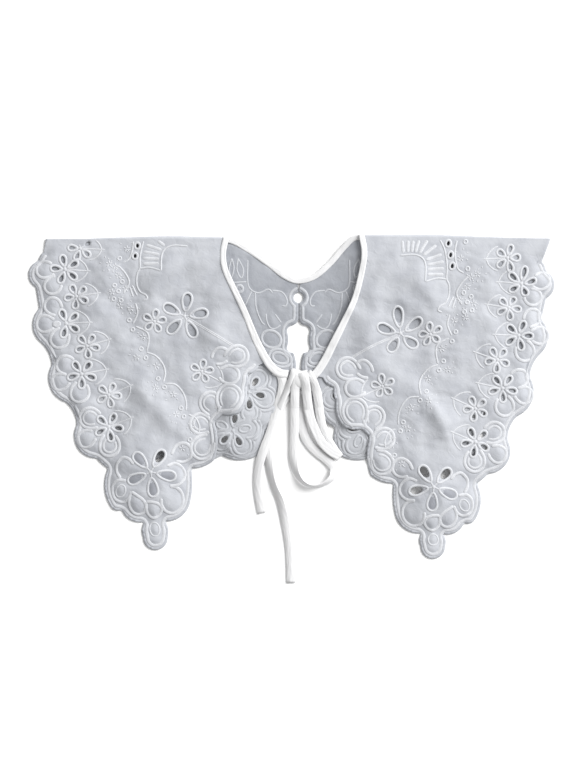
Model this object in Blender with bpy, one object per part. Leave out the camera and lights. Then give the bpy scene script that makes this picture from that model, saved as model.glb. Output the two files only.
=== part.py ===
"""False collar of white eyelet cloth, laid flat with its fronts turned down over its backs.

Each half is one cloth: a back panel on the table, a soft fold at the shoulder and a front panel
on top. A bias binding runs round the neck, and its two ends are tied in a bow at the centre front.
X runs across the collar, +Y from the tips to the shoulder folds, +Z up from the table.
Lengths are in millimetres and are turned into metres where the meshes are made.
"""
import math

import bmesh
import bpy
from mathutils import Vector
from mathutils.geometry import delaunay_2d_cdt

MM = 0.001

# Cloth
CLOTH = 1.0            # wall
SEAM = 0.3             # room between pieces
ARC_STEP = 7.5         # length of one facet on a scallop
GRID = 15.0            # spacing of the points inside a panel
EDGE_ROOM = 5.0        # such points keep this far from an edge
HOLE_STEPS = 6         # sides of an eyelet
FOLD_ROWS = 6          # facets round the shoulder fold
FOLD_COLUMNS = 13      # facets along the shoulder fold

# Where the origin lies in the drawing below: the middle of the collar without its ties
DRAWING_ORIGIN = Vector((0.03, -0.445))

# Shoulder fold: half the height of the roll at the outer edge and at the neck
ROLL_OUTER = 0.65
ROLL_NECK = 3.6
OUTER_X = 215.0
NECK_X = 60.0
FOLD_LIFT_FOOT = 10.0  # the fronts' lift over the backs dies out at this Y
FRONT_DROP = (-58.0, -82.0)  # the tips come down to the table between these Y

# Binding and ties
BINDING_WIDTH = 5.0
BINDING_THICK = 2.0
BINDING_STEP = 7.0
BINDING_LOW = 2.6      # lowest middle height of the binding on the fronts
TAPE_WIDTH = 7.6
TAPE_THICK = 1.0
TAPE_STEP = 5.0
KNOT_CENTRE = Vector((7.5, 14.5, 4.9))
KNOT_HALF = Vector((9.5, 8.5, 3.6))

# Fronts' scalloped edge, left half: x, y, bulge of the arc to the next row (+ is outward).
# It runs down the outer edge, round the pointed tip and up the inner edge to the bow.
FRONT_EDGE = [
    (-212.9, 123.4, 1.0),
    (-217.2, 115.7, 7.5),
    (-219.7, 93.3, 0.0),
    (-216.5, 75.0, 6.5),
    (-215.4, 46.0, -2.0),
    (-205.7, 26.5, 8.2),
    (-193.9, -5.6, -2.5),
    (-184.5, -25.5, 9.5),
    (-167.3, -53.8, 0.6),
    (-157.4, -62.4, 4.0),
    (-156.0, -94.0, 2.5),
    (-145.8, -98.0, 4.5),
    (-126.0, -108.2, 1.8),
    (-127.3, -121.5, 11.2),
    (-106.6, -121.5, 1.8),
    (-109.2, -107.8, 4.9),
    (-87.5, -92.5, 1.5),
    (-86.4, -62.4, 2.0),
    (-66.7, -55.5, 3.2),
    (-66.7, -22.5, 0.0),
    (-59.5, -16.0, 1.5),
    (-44.3, -14.2, 3.0),
    (-38.9, 7.0, 1.8),
    (-38.3, 18.5, 2.0),
    (-28.0, 26.0, 0.0),
]

# How the right half lies against a mirror image of the left:
# y, how much lower, how much further out inside the panel and at its edge
RIGHT_LIE = [
    (140.0, 7.0, 5.0, 5.0),
    (115.0, 9.0, 3.2, 1.0),
    (95.0, 9.5, 2.2, -1.0),
    (60.0, 10.0, 1.3, -2.6),
    (10.0, 11.0, 1.0, -0.4),
    (-40.0, 13.5, 0.8, 1.6),
    (-80.0, 12.5, 1.6, 1.6),
    (-107.0, 10.5, 3.0, 3.0),
    (-133.0, 5.2, 6.0, 6.0),
]

# The right front sags a little round some flowers: x, y in the left drawing, reach, how far
RIGHT_SAGS = [
    (-92.0, 68.0, 22.0, 4.6),
    (-195.0, 108.0, 13.0, 3.0),
    (-76.0, 21.0, 20.0, 2.0),
    (-178.0, 32.0, 26.0, 1.8),
]

# The right back is notched deeper beside the bow: y, reach, how much further out
RIGHT_NOTCH = (-26.0, 8.0, 4.5)

# Backs' edge, left half, from the hidden shoulder corner: x, y, bulge
BACK_SIDE = [
    (-207.5, 118.0, 3.0),
    (-212.0, 92.0, 3.0),
    (-209.0, 46.0, 0.0),
    (-200.0, 22.0, 3.0),
    (-187.0, -8.0, 3.0),
    (-163.0, -47.0, 4.0),
]
BACK_HEM = [
    (-137.0, -51.0, 4.0),
    (-109.0, -51.5, 4.0),
    (-84.0, -51.5, 4.0),
    (-60.0, -51.0, 4.5),
    (-29.0, -51.0, 3.0),
    (-21.5, -27.0, 3.0),
    (-12.5, -12.0, 3.5),
    (-6.0, 8.0, 1.0),
    (3.6, 22.0, 1.0),
    (1.3, 37.0, -2.0),
    (-4.3, 41.0, 1.5),
    (-4.3, 55.5, -1.5),
    (1.3, 60.6, 1.0),
    (5.6, 66.0, 0.0),
    (5.6, 79.4, -4.6),
    (5.6, 88.8, 0.0),
]
BACK_MIDDLE = 6.0      # X of the centre back, about which the backs mirror

# Flowers of five eyelets: ring radius, eyelet length and width
FLOWERS = {
    "edge": (8.6, 6.4, 4.2),
    "inset": (7.4, 4.8, 3.8),
    "tip": (15.1, 10.8, 6.6),
    "large": (13.8, 11.2, 6.0),
    "small": (6.6, 5.0, 3.6),
    "hem": (10.4, 7.4, 4.8),
}

# Front flowers, drawn for the left half: kind, x, y, turn of the first eyelet in degrees, the
# eyelets that are closed with stitches on the left half and on the right one
FRONT_FLOWERS = [
    ("inset", -181.4, 126.2, 104.0, (), ()),
    ("edge", -194.4, 108.2, 103.0, (), ()),
    ("inset", -184.5, 85.1, 117.0, (), ()),
    ("edge", -193.5, 61.9, 112.0, (1,), ()),
    ("inset", -175.4, 42.6, 131.0, (), ()),
    ("edge", -180.2, 18.5, 125.0, (), ()),
    ("inset", -157.0, 0.4, 138.0, (), ()),
    ("edge", -157.0, -27.1, 137.0, (), ()),
    ("tip", -120.5, -65.5, 132.0, (), ()),
    ("large", -91.8, 68.0, 81.0, (), ()),
    ("small", -117.8, 63.8, 80.0, (), ()),
    ("small", -77.2, 20.8, 80.0, (), ()),
]

# Back flowers, in the same way
BACK_FLOWERS = [
    ("hem", -37.0, 2.6, 58.0, (), ()),
    ("hem", -50.3, -30.2, 82.0, (1, 4), (3,)),
    ("hem", -98.0, -31.0, 90.0, (), ()),
    ("hem", -150.0, -24.0, 120.0, (), ()),
]

# Single eyelets in a row near the shoulder, left front, and their length and width
SMALL_EYELETS = [
    (-127.3, 137.6),
    (-131.5, 128.4),
    (-133.6, 119.6),
]
SMALL_EYELET = (4.6, 3.4)

# Soft ridges in the fronts, left half: x, y, heading in degrees, half length, half width, height
FRONT_RIDGES = [
    (-120.0, 85.0, 68.0, 60.0, 17.0, 2.4),
    (-168.0, 60.0, 100.0, 55.0, 15.0, 1.8),
    (-95.0, 15.0, 40.0, 55.0, 15.0, 2.6),
    (-128.0, -8.0, 62.0, 50.0, 14.0, 2.2),
    (-62.0, 62.0, 62.0, 50.0, 13.0, 2.2),
]

# Binding's middle line: on the left front from the bow up, round the back neck, on the right front
LEFT_FRONT_NECK = [
    (-2.9, 18.2),
    (-11.6, 20.0),
    (-20.2, 28.5),
    (-30.5, 47.7),
    (-40.9, 73.5),
    (-51.2, 95.0),
    (-57.2, 109.0),
    (-58.6, 122.0),
]
RIGHT_FRONT_NECK = [
    (17.8, 16.6),
    (21.5, 19.5),
    (28.8, 30.5),
    (37.4, 47.7),
    (46.0, 64.9),
    (54.6, 84.0),
    (60.6, 107.9),
    (62.4, 123.0),
]
BACK_NECK = [
    (-49.5, 132.0),
    (-35.7, 124.3),
    (-18.5, 112.2),
    (-5.6, 102.5),
    (6.0, 98.5),
    (20.2, 102.5),
    (33.1, 113.5),
    (43.5, 125.5),
    (52.5, 134.5),
]
SHOULDERS = {
    "left": {"side": -1, "outer": (-211.1, 133.8), "neck": (-56.4, 133.9)},
    "right": {"side": 1, "outer": (222.5, 134.4), "neck": (60.4, 136.0)},
}

# Ties: x, y, height, tilt of the tape out of the flat in degrees
LEFT_TAIL = [
    (-2.2, 8.6, 4.4, 0),
    (-7.3, -0.5, 3.8, 0),
    (-13.5, -15.6, 3.2, 0),
    (-18.0, -31.0, 3.1, 0),
    (-23.9, -46.3, 3.1, 0),
    (-28.3, -62.0, 1.9, 10),
    (-29.3, -77.0, 1.2, 8),
    (-27.7, -89.9, 1.0, 4),
    (-25.4, -101.0, 0.8, 0),
]
RIGHT_TAIL = [
    (-2.6, 0.8, 1.8, 0),
    (-6.5, -4.0, 1.8, 0),
    (-12.6, -16.0, 1.8, 0),
    (-17.0, -31.0, 1.8, 0),
    (-19.6, -46.3, 1.9, 0),
    (-18.9, -61.7, 2.2, 30),
    (-15.4, -77.0, 2.9, 42),
    (-9.6, -91.0, 2.2, 25),
    (-4.6, -111.4, 1.2, 5),
    (-1.3, -132.9, 0.9, 0),
    (-0.4, -161.0, 0.8, 0),
]
LEFT_LOOP = [
    (3.2, 5.0, 3.2, 0),
    (2.8, -7.8, 3.2, 0),
    (2.6, -23.0, 2.9, 0),
    (2.2, -38.6, 2.0, 0),
    (1.7, -54.0, 2.2, 15),
    (4.0, -66.0, 3.4, 45),
    (10.0, -74.5, 4.2, 66),
    (18.4, -78.0, 4.3, 72),
    (27.5, -76.0, 4.3, 66),
    (35.0, -70.0, 3.9, 40),
    (36.4, -62.5, 2.4, 0),
    (30.0, -55.0, 1.6, 0),
    (19.6, -46.6, 1.4, 0),
    (12.0, -36.5, 1.3, 0),
    (8.2, -23.0, 1.3, 0),
    (5.8, -7.8, 1.3, 0),
    (5.0, 5.0, 1.3, 0),
]
RIGHT_LOOP = [
    (17.8, 9.0, 3.1, 0),
    (21.6, 4.0, 3.1, 0),
    (23.4, -7.8, 2.9, 0),
    (25.6, -23.0, 2.6, 0),
    (29.6, -34.6, 2.3, 0),
    (35.6, -45.2, 2.1, 0),
    (40.3, -51.6, 2.1, 0),
    (41.9, -53.8, 2.8, 0),
    (40.3, -52.0, 3.6, 0),
    (34.2, -48.4, 3.7, 0),
    (26.6, -41.0, 3.9, 0),
    (20.4, -30.0, 4.1, 0),
    (16.0, -18.0, 4.2, 0),
    (13.8, -6.0, 4.3, 0),
    (12.9, 4.6, 4.4, 0),
]


def smooth(value, start, end):
    """0 at start, 1 at end, easing in between."""
    t = min(1.0, max(0.0, (value - start) / (end - start)))
    return t * t * (3.0 - 2.0 * t)


def right_lie(x, y, on_edge):
    """Where a point of the left front lies on the right front: its x, and how far it moves in y."""
    rows = RIGHT_LIE
    out_column = 3 if on_edge else 2
    y = min(rows[0][0], max(rows[-1][0], y))
    for upper, lower in zip(rows, rows[1:]):
        if y >= lower[0]:
            break
    t = (upper[0] - y) / (upper[0] - lower[0])
    drop = upper[1] + (lower[1] - upper[1]) * t
    out = upper[out_column] + (lower[out_column] - upper[out_column]) * t
    return -x + out, -drop


def front_point(shoulder, x, y, on_edge=False):
    """A point of the drawing on the left or the right front."""
    if shoulder["side"] < 0:
        return Vector((x, y))
    new_x, move_y = right_lie(x, y, on_edge)
    if not on_edge:
        for sag_x, sag_y, reach, sag in RIGHT_SAGS:
            away = (x - sag_x) ** 2 + (y - sag_y) ** 2
            move_y -= sag * math.exp(-away / reach ** 2)
    return Vector((new_x, y + move_y))


def front_edge_point(shoulder, x, y):
    return front_point(shoulder, x, y, on_edge=True)


def back_point(shoulder, x, y):
    """A point of the drawing on the left or the right back."""
    if shoulder["side"] < 0:
        return Vector((x, y))
    return Vector((2.0 * BACK_MIDDLE - x, y))


def back_edge_point(shoulder, x, y):
    """The hidden side of a back follows its own front; the hem mirrors about the centre back."""
    if x > BACK_SIDE[-1][0] + 1.0:
        point = back_point(shoulder, x, y)
        if shoulder["side"] > 0 and x > -40.0:
            notch_y, reach, further = RIGHT_NOTCH
            point.x += further * math.exp(-((y - notch_y) / reach) ** 2)
        return point
    if shoulder["side"] < 0:
        return Vector((x, y))
    new_x, move_y = right_lie(x, y, on_edge=True)
    return Vector((new_x, y + move_y * smooth(y, BACK_SIDE[-1][1], 20.0)))


def cloth_neck_x(shoulder):
    """X where the cloth ends at the neck end of the shoulder fold."""
    return shoulder["neck"][0] + shoulder["side"] * (BINDING_WIDTH / 2 + SEAM)


def fold_y(shoulder, x):
    outer, neck = shoulder["outer"], shoulder["neck"]
    t = (x - outer[0]) / (neck[0] - outer[0])
    return outer[1] + (neck[1] - outer[1]) * t


def roll_radius(x):
    return ROLL_OUTER + (ROLL_NECK - ROLL_OUTER) * smooth(-abs(x), -OUTER_X, -NECK_X)


def ridge_lift(shoulder, x, y):
    """Height of the soft ridges of a front at a point."""
    lift = 0.0
    for ridge_x, ridge_y, heading, half_length, half_width, height in FRONT_RIDGES:
        top = front_point(shoulder, ridge_x, ridge_y)
        angle = math.radians(heading)
        along_x = math.cos(angle) * -shoulder["side"]
        along_y = math.sin(angle)
        along = (x - top.x) * along_x + (y - top.y) * along_y
        across = (x - top.x) * along_y - (y - top.y) * along_x
        lift += height * math.exp(-(along / half_length) ** 2 * 2.0 - (across / half_width) ** 2)
    return lift * smooth(fold_y(shoulder, x) - y, 2.0, 30.0)


def front_height(shoulder, x, y):
    """Height of the middle of a front's wall."""
    rest = CLOTH + SEAM
    rise = 2.0 * roll_radius(x) - rest
    above = rest + rise * smooth(y, FOLD_LIFT_FOOT, fold_y(shoulder, x))
    above += ridge_lift(shoulder, x, y)
    return CLOTH / 2 + above * (1.0 - smooth(-y, -FRONT_DROP[0], -FRONT_DROP[1]))


def arc(start, end, bulge):
    """Points from start towards end on an arc that stands out to the right of its travel."""
    chord = end - start
    if abs(bulge) < 0.4:
        return [start]
    size = abs(bulge)
    radius = (chord.length ** 2 / 4 + size ** 2) / (2 * size)
    outward = Vector((chord.y, -chord.x)).normalized() * math.copysign(1.0, bulge)
    centre = (start + end) / 2 + outward * (size - radius)
    sweep = 2 * math.atan2(chord.length / 2, radius - size)
    steps = max(2, round(sweep * radius / ARC_STEP))
    turn = math.copysign(sweep / steps, bulge)
    points = []
    for index in range(steps):
        arm = start - centre
        angle = turn * index
        points.append(centre + Vector((
            arm.x * math.cos(angle) - arm.y * math.sin(angle),
            arm.x * math.sin(angle) + arm.y * math.cos(angle))))
    return points


def scallops(rows, place, shoulder):
    """The edge drawn by a table of arcs, up to its last row."""
    corners = [place(shoulder, x, y) for x, y, _bulge in rows]
    points = []
    for (start, end), (_x, _y, bulge) in zip(zip(corners, corners[1:]), rows):
        if shoulder["side"] > 0:
            bulge = -bulge
        points += arc(start, end, bulge)
    return points + [corners[-1]]


def smooth_line(rows, step):
    """Evenly spaced points on a smooth curve through the rows."""
    knots = [Vector(row) for row in rows]
    knots = [knots[0] * 2 - knots[1]] + knots + [knots[-1] * 2 - knots[-2]]
    fine = []
    for before, start, end, after in zip(knots, knots[1:], knots[2:], knots[3:]):
        for index in range(12):
            t = index / 12
            fine.append(0.5 * (2 * start + (end - before) * t
                               + (2 * before - 5 * start + 4 * end - after) * t ** 2
                               + (3 * start - before - 3 * end + after) * t ** 3))
    fine.append(knots[-2])
    travel = [0.0]
    for start, end in zip(fine, fine[1:]):
        travel.append(travel[-1] + (end - start).to_3d().length)
    count = max(2, round(travel[-1] / step))
    points = []
    place = 0
    for index in range(count + 1):
        goal = travel[-1] * index / count
        while place < len(fine) - 2 and travel[place + 1] < goal:
            place += 1
        span = travel[place + 1] - travel[place]
        points.append(fine[place].lerp(fine[place + 1], (goal - travel[place]) / span))
    return points


def offset_line(points, distance):
    """The points of a line in the plane, moved to the left of its travel."""
    moved = []
    for index, point in enumerate(points):
        before = points[max(index - 1, 0)]
        after = points[min(index + 1, len(points) - 1)]
        travel = (after - before).normalized()
        moved.append(point + Vector((-travel.y, travel.x)) * distance)
    return moved


def inside(point, outline):
    """Whether a point lies inside an outline."""
    found = False
    for start, end in zip(outline, outline[1:] + outline[:1]):
        if (start.y > point.y) != (end.y > point.y):
            cross = start.x + (end.x - start.x) * (point.y - start.y) / (end.y - start.y)
            if point.x < cross:
                found = not found
    return found


def clearance(point, outline):
    """Distance from a point to the nearest side of an outline."""
    nearest = math.inf
    for start, end in zip(outline, outline[1:] + outline[:1]):
        side = end - start
        t = min(1.0, max(0.0, (point - start).dot(side) / side.length_squared))
        nearest = min(nearest, (point - start - side * t).length)
    return nearest


def eyelet(middle, out, length, width):
    """Outline of one eyelet that points along a direction."""
    side = Vector((-out.y, out.x))
    hole = []
    for step in range(HOLE_STEPS):
        angle = 2 * math.pi * step / HOLE_STEPS
        hole.append(middle + out * (length / 2 * math.cos(angle)) + side * (width / 2 * math.sin(angle)))
    return hole


def eyelets(flowers, singles, place, shoulder, limit):
    """Outlines of all the open eyelets of a panel that lie below the shoulder fold."""
    holes = []
    for kind, x, y, turn, closed_left, closed_right in flowers:
        ring, length, width = FLOWERS[kind]
        closed = closed_left if shoulder["side"] < 0 else closed_right
        centre = place(shoulder, x, y)
        for index in range(5):
            angle = math.radians(turn + 72.0 * index)
            if shoulder["side"] > 0:
                angle = math.pi - angle
            out = Vector((math.cos(angle), math.sin(angle)))
            middle = centre + out * ring
            if index not in closed:
                holes.append(eyelet(middle, out, length, width))
    for x, y in singles:
        holes.append(eyelet(place(shoulder, x, y), Vector((0.0, 1.0)), *SMALL_EYELET))
    return [hole for hole in holes if max(point.y for point in hole) < limit - 0.8]


def signed_area(outline):
    """Area of an outline, negative where it runs clockwise."""
    return sum(a.x * b.y - b.x * a.y for a, b in zip(outline, outline[1:] + outline[:1])) / 2


def cut_panel(outline, holes):
    """Triangles of a flat panel with its eyelets cut through."""
    if signed_area(outline) < 0:
        outline = outline[::-1]
    holes = [hole if signed_area(hole) > 0 else hole[::-1] for hole in holes]
    points = list(outline)
    faces = [list(range(len(outline)))]
    for hole in holes:
        faces.append(list(range(len(points), len(points) + len(hole))))
        points += hole
    low_x, high_x = min(p.x for p in outline), max(p.x for p in outline)
    low_y, high_y = min(p.y for p in outline), max(p.y for p in outline)
    for row in range(int((high_y - low_y) / GRID) + 1):
        for column in range(int((high_x - low_x) / GRID) + 1):
            point = Vector((low_x + GRID * (column + 0.5 * (row % 2)), low_y + GRID * row))
            if not inside(point, outline) or clearance(point, outline) < EDGE_ROOM:
                continue
            if all((point - sum(hole, Vector((0, 0))) / len(hole)).length > EDGE_ROOM * 1.4
                   for hole in holes):
                points.append(point)
    corners, _edges, triangles, _points, _sides, owners = delaunay_2d_cdt(points, [], faces, 1, 1e-4)
    kept = [list(triangle) for triangle, owner in zip(triangles, owners) if owner == [0]]
    return corners, kept


def neck_edges(shoulder):
    """Cloth edges beside the binding: on the front from the bow up, on the back from the fold in."""
    side = shoulder["side"]
    front_rows = LEFT_FRONT_NECK if side < 0 else RIGHT_FRONT_NECK
    reach = BINDING_WIDTH / 2 + SEAM
    line = smooth_line(front_rows + [shoulder["neck"]], BINDING_STEP)
    front = offset_line(line, -side * reach)
    back_rows = [SHOULDERS["left"]["neck"]] + BACK_NECK + [SHOULDERS["right"]["neck"]]
    line = smooth_line(back_rows, BINDING_STEP)
    back = offset_line(line, -reach)
    if side > 0:
        back.reverse()
    limit = abs(cloth_neck_x(shoulder))
    front = [p for p in front if p.y < fold_y(shoulder, p.x) - 3.0]
    back = [p for p in back if abs(p.x) < limit - 2.0 and (p.x - BACK_MIDDLE) * side > 1.0]
    return front, back


def cloth_half(name, shoulder, material):
    """One half of the collar: back panel, shoulder fold and front panel in one cloth."""
    side = shoulder["side"]
    neck_x = cloth_neck_x(shoulder)
    outer_x = shoulder["outer"][0]
    fold_row = []
    for index in range(FOLD_COLUMNS + 1):
        x = outer_x + (neck_x - outer_x) * index / FOLD_COLUMNS
        fold_row.append(Vector((x, fold_y(shoulder, x))))
    front_neck, back_neck = neck_edges(shoulder)

    edge = scallops(FRONT_EDGE, front_edge_point, shoulder)
    start = next(i for i, p in enumerate(front_neck) if p.y > edge[-1].y + 2.0)
    outline = edge + front_neck[start:] + fold_row[::-1]
    holes = eyelets(FRONT_FLOWERS, SMALL_EYELETS, front_point, shoulder, fold_row[0].y)
    front_corners, front_faces = cut_panel(outline, holes)

    edge = scallops(BACK_SIDE + BACK_HEM, back_edge_point, shoulder)
    outline = edge + back_neck[::-1] + fold_row[::-1]
    holes = eyelets(BACK_FLOWERS, [], back_point, shoulder, fold_row[0].y)
    back_corners, back_faces = cut_panel(outline, holes)

    mesh = bmesh.new()
    front = [mesh.verts.new((p.x, p.y, front_height(shoulder, p.x, p.y))) for p in front_corners]
    back = [mesh.verts.new((p.x, p.y, CLOTH / 2)) for p in back_corners]
    for triangle in front_faces:
        mesh.faces.new([front[i] for i in triangle])
    for triangle in back_faces:
        mesh.faces.new([back[i] for i in reversed(triangle)])
    columns = []
    for point in fold_row:
        radius = roll_radius(point.x)
        column = []
        for row in range(FOLD_ROWS + 1):
            angle = math.pi * (row / FOLD_ROWS - 0.5)
            column.append(mesh.verts.new((
                point.x, point.y + radius * math.cos(angle),
                CLOTH / 2 + radius + radius * math.sin(angle))))
        columns.append(column)
    for left, right in zip(columns, columns[1:]):
        for low in range(FOLD_ROWS):
            corners = [left[low], right[low], right[low + 1], left[low + 1]]
            mesh.faces.new(corners if side < 0 else corners[::-1])
    bmesh.ops.remove_doubles(mesh, verts=mesh.verts, dist=0.02)
    bmesh.ops.recalc_face_normals(mesh, faces=mesh.faces)
    piece = add_object(name, mesh, material)
    wall = piece.modifiers.new("wall", "SOLIDIFY")
    wall.thickness = CLOTH * MM
    wall.offset = 0.0
    wall.use_even_offset = True
    return piece


def add_object(name, mesh, material):
    """A scene object from a mesh in drawing millimetres."""
    for vert in mesh.verts:
        vert.co = Vector((vert.co.x - DRAWING_ORIGIN.x, vert.co.y - DRAWING_ORIGIN.y, vert.co.z)) * MM
    data = bpy.data.meshes.new(name)
    mesh.to_mesh(data)
    mesh.free()
    data.materials.append(material)
    piece = bpy.data.objects.new(name, data)
    bpy.context.scene.collection.objects.link(piece)
    return piece


def band(name, points, across, profile, material):
    """A closed strip along points, none of it under the table.

    The profile's first number runs across the strip, its second out of its face.
    """
    mesh = bmesh.new()
    rings = []
    for index, point in enumerate(points):
        travel = points[min(index + 1, len(points) - 1)] - points[max(index - 1, 0)]
        side = across[index].normalized()
        out = side.cross(travel).normalized()
        side = travel.cross(out).normalized()
        corners = [point + side * a + out * b for a, b in profile]
        rings.append([mesh.verts.new((c.x, c.y, max(c.z, 0.0))) for c in corners])
    for start, end in zip(rings, rings[1:]):
        for index in range(len(profile)):
            after = (index + 1) % len(profile)
            mesh.faces.new((start[index], start[after], end[after], end[index]))
    mesh.faces.new(rings[0][::-1])
    mesh.faces.new(rings[-1])
    bmesh.ops.recalc_face_normals(mesh, faces=mesh.faces)
    return add_object(name, mesh, material)


def neck_binding(material):
    """The bias strip from one side of the bow up over a shoulder, round the back and down again."""
    half_width, half_thick = BINDING_WIDTH / 2, BINDING_THICK / 2
    points, across = [], []

    def front_stretch(shoulder, rows):
        line = smooth_line(rows + [shoulder["neck"]], BINDING_STEP)
        stretch = []
        for index, point in enumerate(line[:-1]):
            height = max(BINDING_LOW, front_height(shoulder, point.x, point.y))
            travel = line[index + 1] - line[max(index - 1, 0)]
            inward = Vector((travel.y, -travel.x, 0.0)) * -shoulder["side"]
            stretch.append((point.to_3d() + Vector((0, 0, height)), inward))
        return stretch

    def shoulder_turn(shoulder):
        x, y = shoulder["neck"]
        top = CLOTH / 2 + 2 * roll_radius(x)
        middle, radius = (top + half_thick) / 2, (top - half_thick) / 2
        inward = Vector((-shoulder["side"], 0, 0))
        turn = []
        for row in range(FOLD_ROWS + 1):
            angle = math.pi * (0.5 - row / FOLD_ROWS)
            turn.append((Vector((x, y + radius * math.cos(angle), middle + radius * math.sin(angle))),
                         inward))
        return turn

    left, right = SHOULDERS["left"], SHOULDERS["right"]
    stretches = front_stretch(left, LEFT_FRONT_NECK) + shoulder_turn(left)
    back_rows = [left["neck"]] + BACK_NECK + [right["neck"]]
    line = smooth_line(back_rows, BINDING_STEP)
    for index in range(1, len(line) - 1):
        travel = line[index + 1] - line[index - 1]
        stretches.append((line[index].to_3d() + Vector((0, 0, half_thick)),
                          Vector((-travel.y, travel.x, 0.0))))
    stretches += (front_stretch(right, RIGHT_FRONT_NECK) + shoulder_turn(right))[::-1]
    for point, inward in stretches:
        points.append(point)
        across.append(inward)
    rim, lip = half_width * 0.84, half_thick * 0.4
    profile = [
        (-half_width, -lip), (-rim, -half_thick), (rim, -half_thick), (half_width, -lip),
        (half_width, lip), (rim, half_thick), (-rim, half_thick), (-half_width, lip)]
    return band("neck_binding", points, across, profile, material)


def tape(name, rows, material):
    """One stretch of a tie: a flat tape along its rows, tilted out of the flat where they say so."""
    line = smooth_line(rows, TAPE_STEP)
    half_width, half_thick = TAPE_WIDTH / 2, TAPE_THICK / 2
    points, across = [], []
    last = None
    for index, row in enumerate(line):
        step = line[min(index + 1, len(line) - 1)] - line[max(index - 1, 0)]
        travel = Vector((step[0], step[1], step[2]))
        side = Vector((-travel.y, travel.x, 0.0))
        if last is not None and (side.length < 0.35 * travel.length or side.dot(last) < 0):
            side = last if side.length < 0.35 * travel.length else -side
        side.normalize()
        last = side.copy()
        up = travel.normalized().cross(side)
        tilt = math.radians(row[3])
        lowest = half_width * abs(math.sin(tilt)) + half_thick
        points.append(Vector((row[0], row[1], max(row[2], lowest))))
        across.append(side * math.cos(tilt) + up * math.sin(tilt))
    profile = [(-half_width, -half_thick), (half_width, -half_thick),
               (half_width, half_thick), (-half_width, half_thick)]
    return band(name, points, across, profile, material)


def tie_knot(material):
    """The knot of the bow as one rounded lump."""
    mesh = bmesh.new()
    bmesh.ops.create_uvsphere(mesh, u_segments=14, v_segments=8, radius=1.0)
    for vert in mesh.verts:
        vert.co = KNOT_CENTRE + vert.co * KNOT_HALF
    return add_object("tie_knot", mesh, material)


def white_cotton(name, colour, roughness):
    material = bpy.data.materials.new(name)
    material.use_nodes = True
    shader = material.node_tree.nodes["Principled BSDF"]
    shader.inputs["Base Color"].default_value = (*colour, 1.0)
    shader.inputs["Roughness"].default_value = roughness
    shader.inputs["Metallic"].default_value = 0.0
    return material


def clear_scene():
    for existing in list(bpy.data.objects):
        bpy.data.objects.remove(existing, do_unlink=True)


def build():
    clear_scene()
    cloth = white_cotton("eyelet_cloth", (0.80, 0.82, 0.85), 0.9)
    binding = white_cotton("binding_tape", (0.88, 0.88, 0.88), 0.8)
    cloth_half("left_half", SHOULDERS["left"], cloth)
    cloth_half("right_half", SHOULDERS["right"], cloth)
    neck_binding(binding)
    tie_knot(binding)
    tape("left_tie_tail", LEFT_TAIL, binding)
    tape("left_tie_loop", LEFT_LOOP, binding)
    tape("right_tie_tail", RIGHT_TAIL, binding)
    tape("right_tie_loop", RIGHT_LOOP, binding)


build()
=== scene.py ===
"""Looks of a false collar of white eyelet cloth, laid flat on a pale table.

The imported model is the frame. Each half of the collar gets its thin cloth, cut through at every
eyelet, with the embroidery sewn on it. The neck binding, the ties and their knot follow.
Shapes are drawn in millimetres, on the drawing that the model was made from, and become metres
where a mesh is made.
"""
import math

import bmesh
import bpy
import numpy as np
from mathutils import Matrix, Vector
from mathutils.geometry import delaunay_2d_cdt
from mathutils.kdtree import KDTree


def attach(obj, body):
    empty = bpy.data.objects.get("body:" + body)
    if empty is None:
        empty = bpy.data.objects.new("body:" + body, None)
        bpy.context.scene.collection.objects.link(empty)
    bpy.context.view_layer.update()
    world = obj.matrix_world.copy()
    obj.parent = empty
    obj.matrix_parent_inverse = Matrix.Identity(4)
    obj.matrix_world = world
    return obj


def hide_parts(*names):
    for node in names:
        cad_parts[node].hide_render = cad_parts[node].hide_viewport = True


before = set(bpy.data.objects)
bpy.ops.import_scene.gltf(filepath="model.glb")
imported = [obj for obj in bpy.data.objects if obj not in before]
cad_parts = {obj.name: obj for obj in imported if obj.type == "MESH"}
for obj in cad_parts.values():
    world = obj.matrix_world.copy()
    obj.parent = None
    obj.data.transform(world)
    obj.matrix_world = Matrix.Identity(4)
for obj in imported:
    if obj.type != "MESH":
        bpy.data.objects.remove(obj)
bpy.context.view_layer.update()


# The table, the light and the camera
# A plain white table under a bright even room. A broad soft lamp stands to the upper right, so the
# lower left sides of folds and scallops lie in soft shade. The camera looks straight down.
MM = 0.001
DRAWING_ORIGIN = (0.03, -0.445)
TABLE_SIDE = 6000.0
TABLE_WHITE = (0.93, 0.93, 0.93, 1.0)
ROOM_LIGHT = 0.56
LAMP_PLACE = (4500.0, 3500.0, 3750.0)
LAMP_SIDE = 4500.0
LAMP_POWER = 790.0
VIEW_CENTRE = (-3.01, 9.89)
VIEW_LENGTH = 660.5
CAMERA_HEIGHT = 2000.0
SENSOR = 36.0


def in_frame(x, y, z=0.0):
    """A point of the drawing, in the frame's metres."""
    return Vector((x - DRAWING_ORIGIN[0], y - DRAWING_ORIGIN[1], z)) * MM


def plain_finish(name, colour, roughness, sheen=0.0, sheen_roughness=0.5):
    """A new material, with its node tree and its shader."""
    finish = bpy.data.materials.new(name)
    finish.use_nodes = True
    shader = finish.node_tree.nodes["Principled BSDF"]
    shader.inputs["Base Color"].default_value = colour
    shader.inputs["Roughness"].default_value = roughness
    shader.inputs["Sheen Weight"].default_value = sheen
    shader.inputs["Sheen Roughness"].default_value = sheen_roughness
    return finish, finish.node_tree, shader


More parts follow.
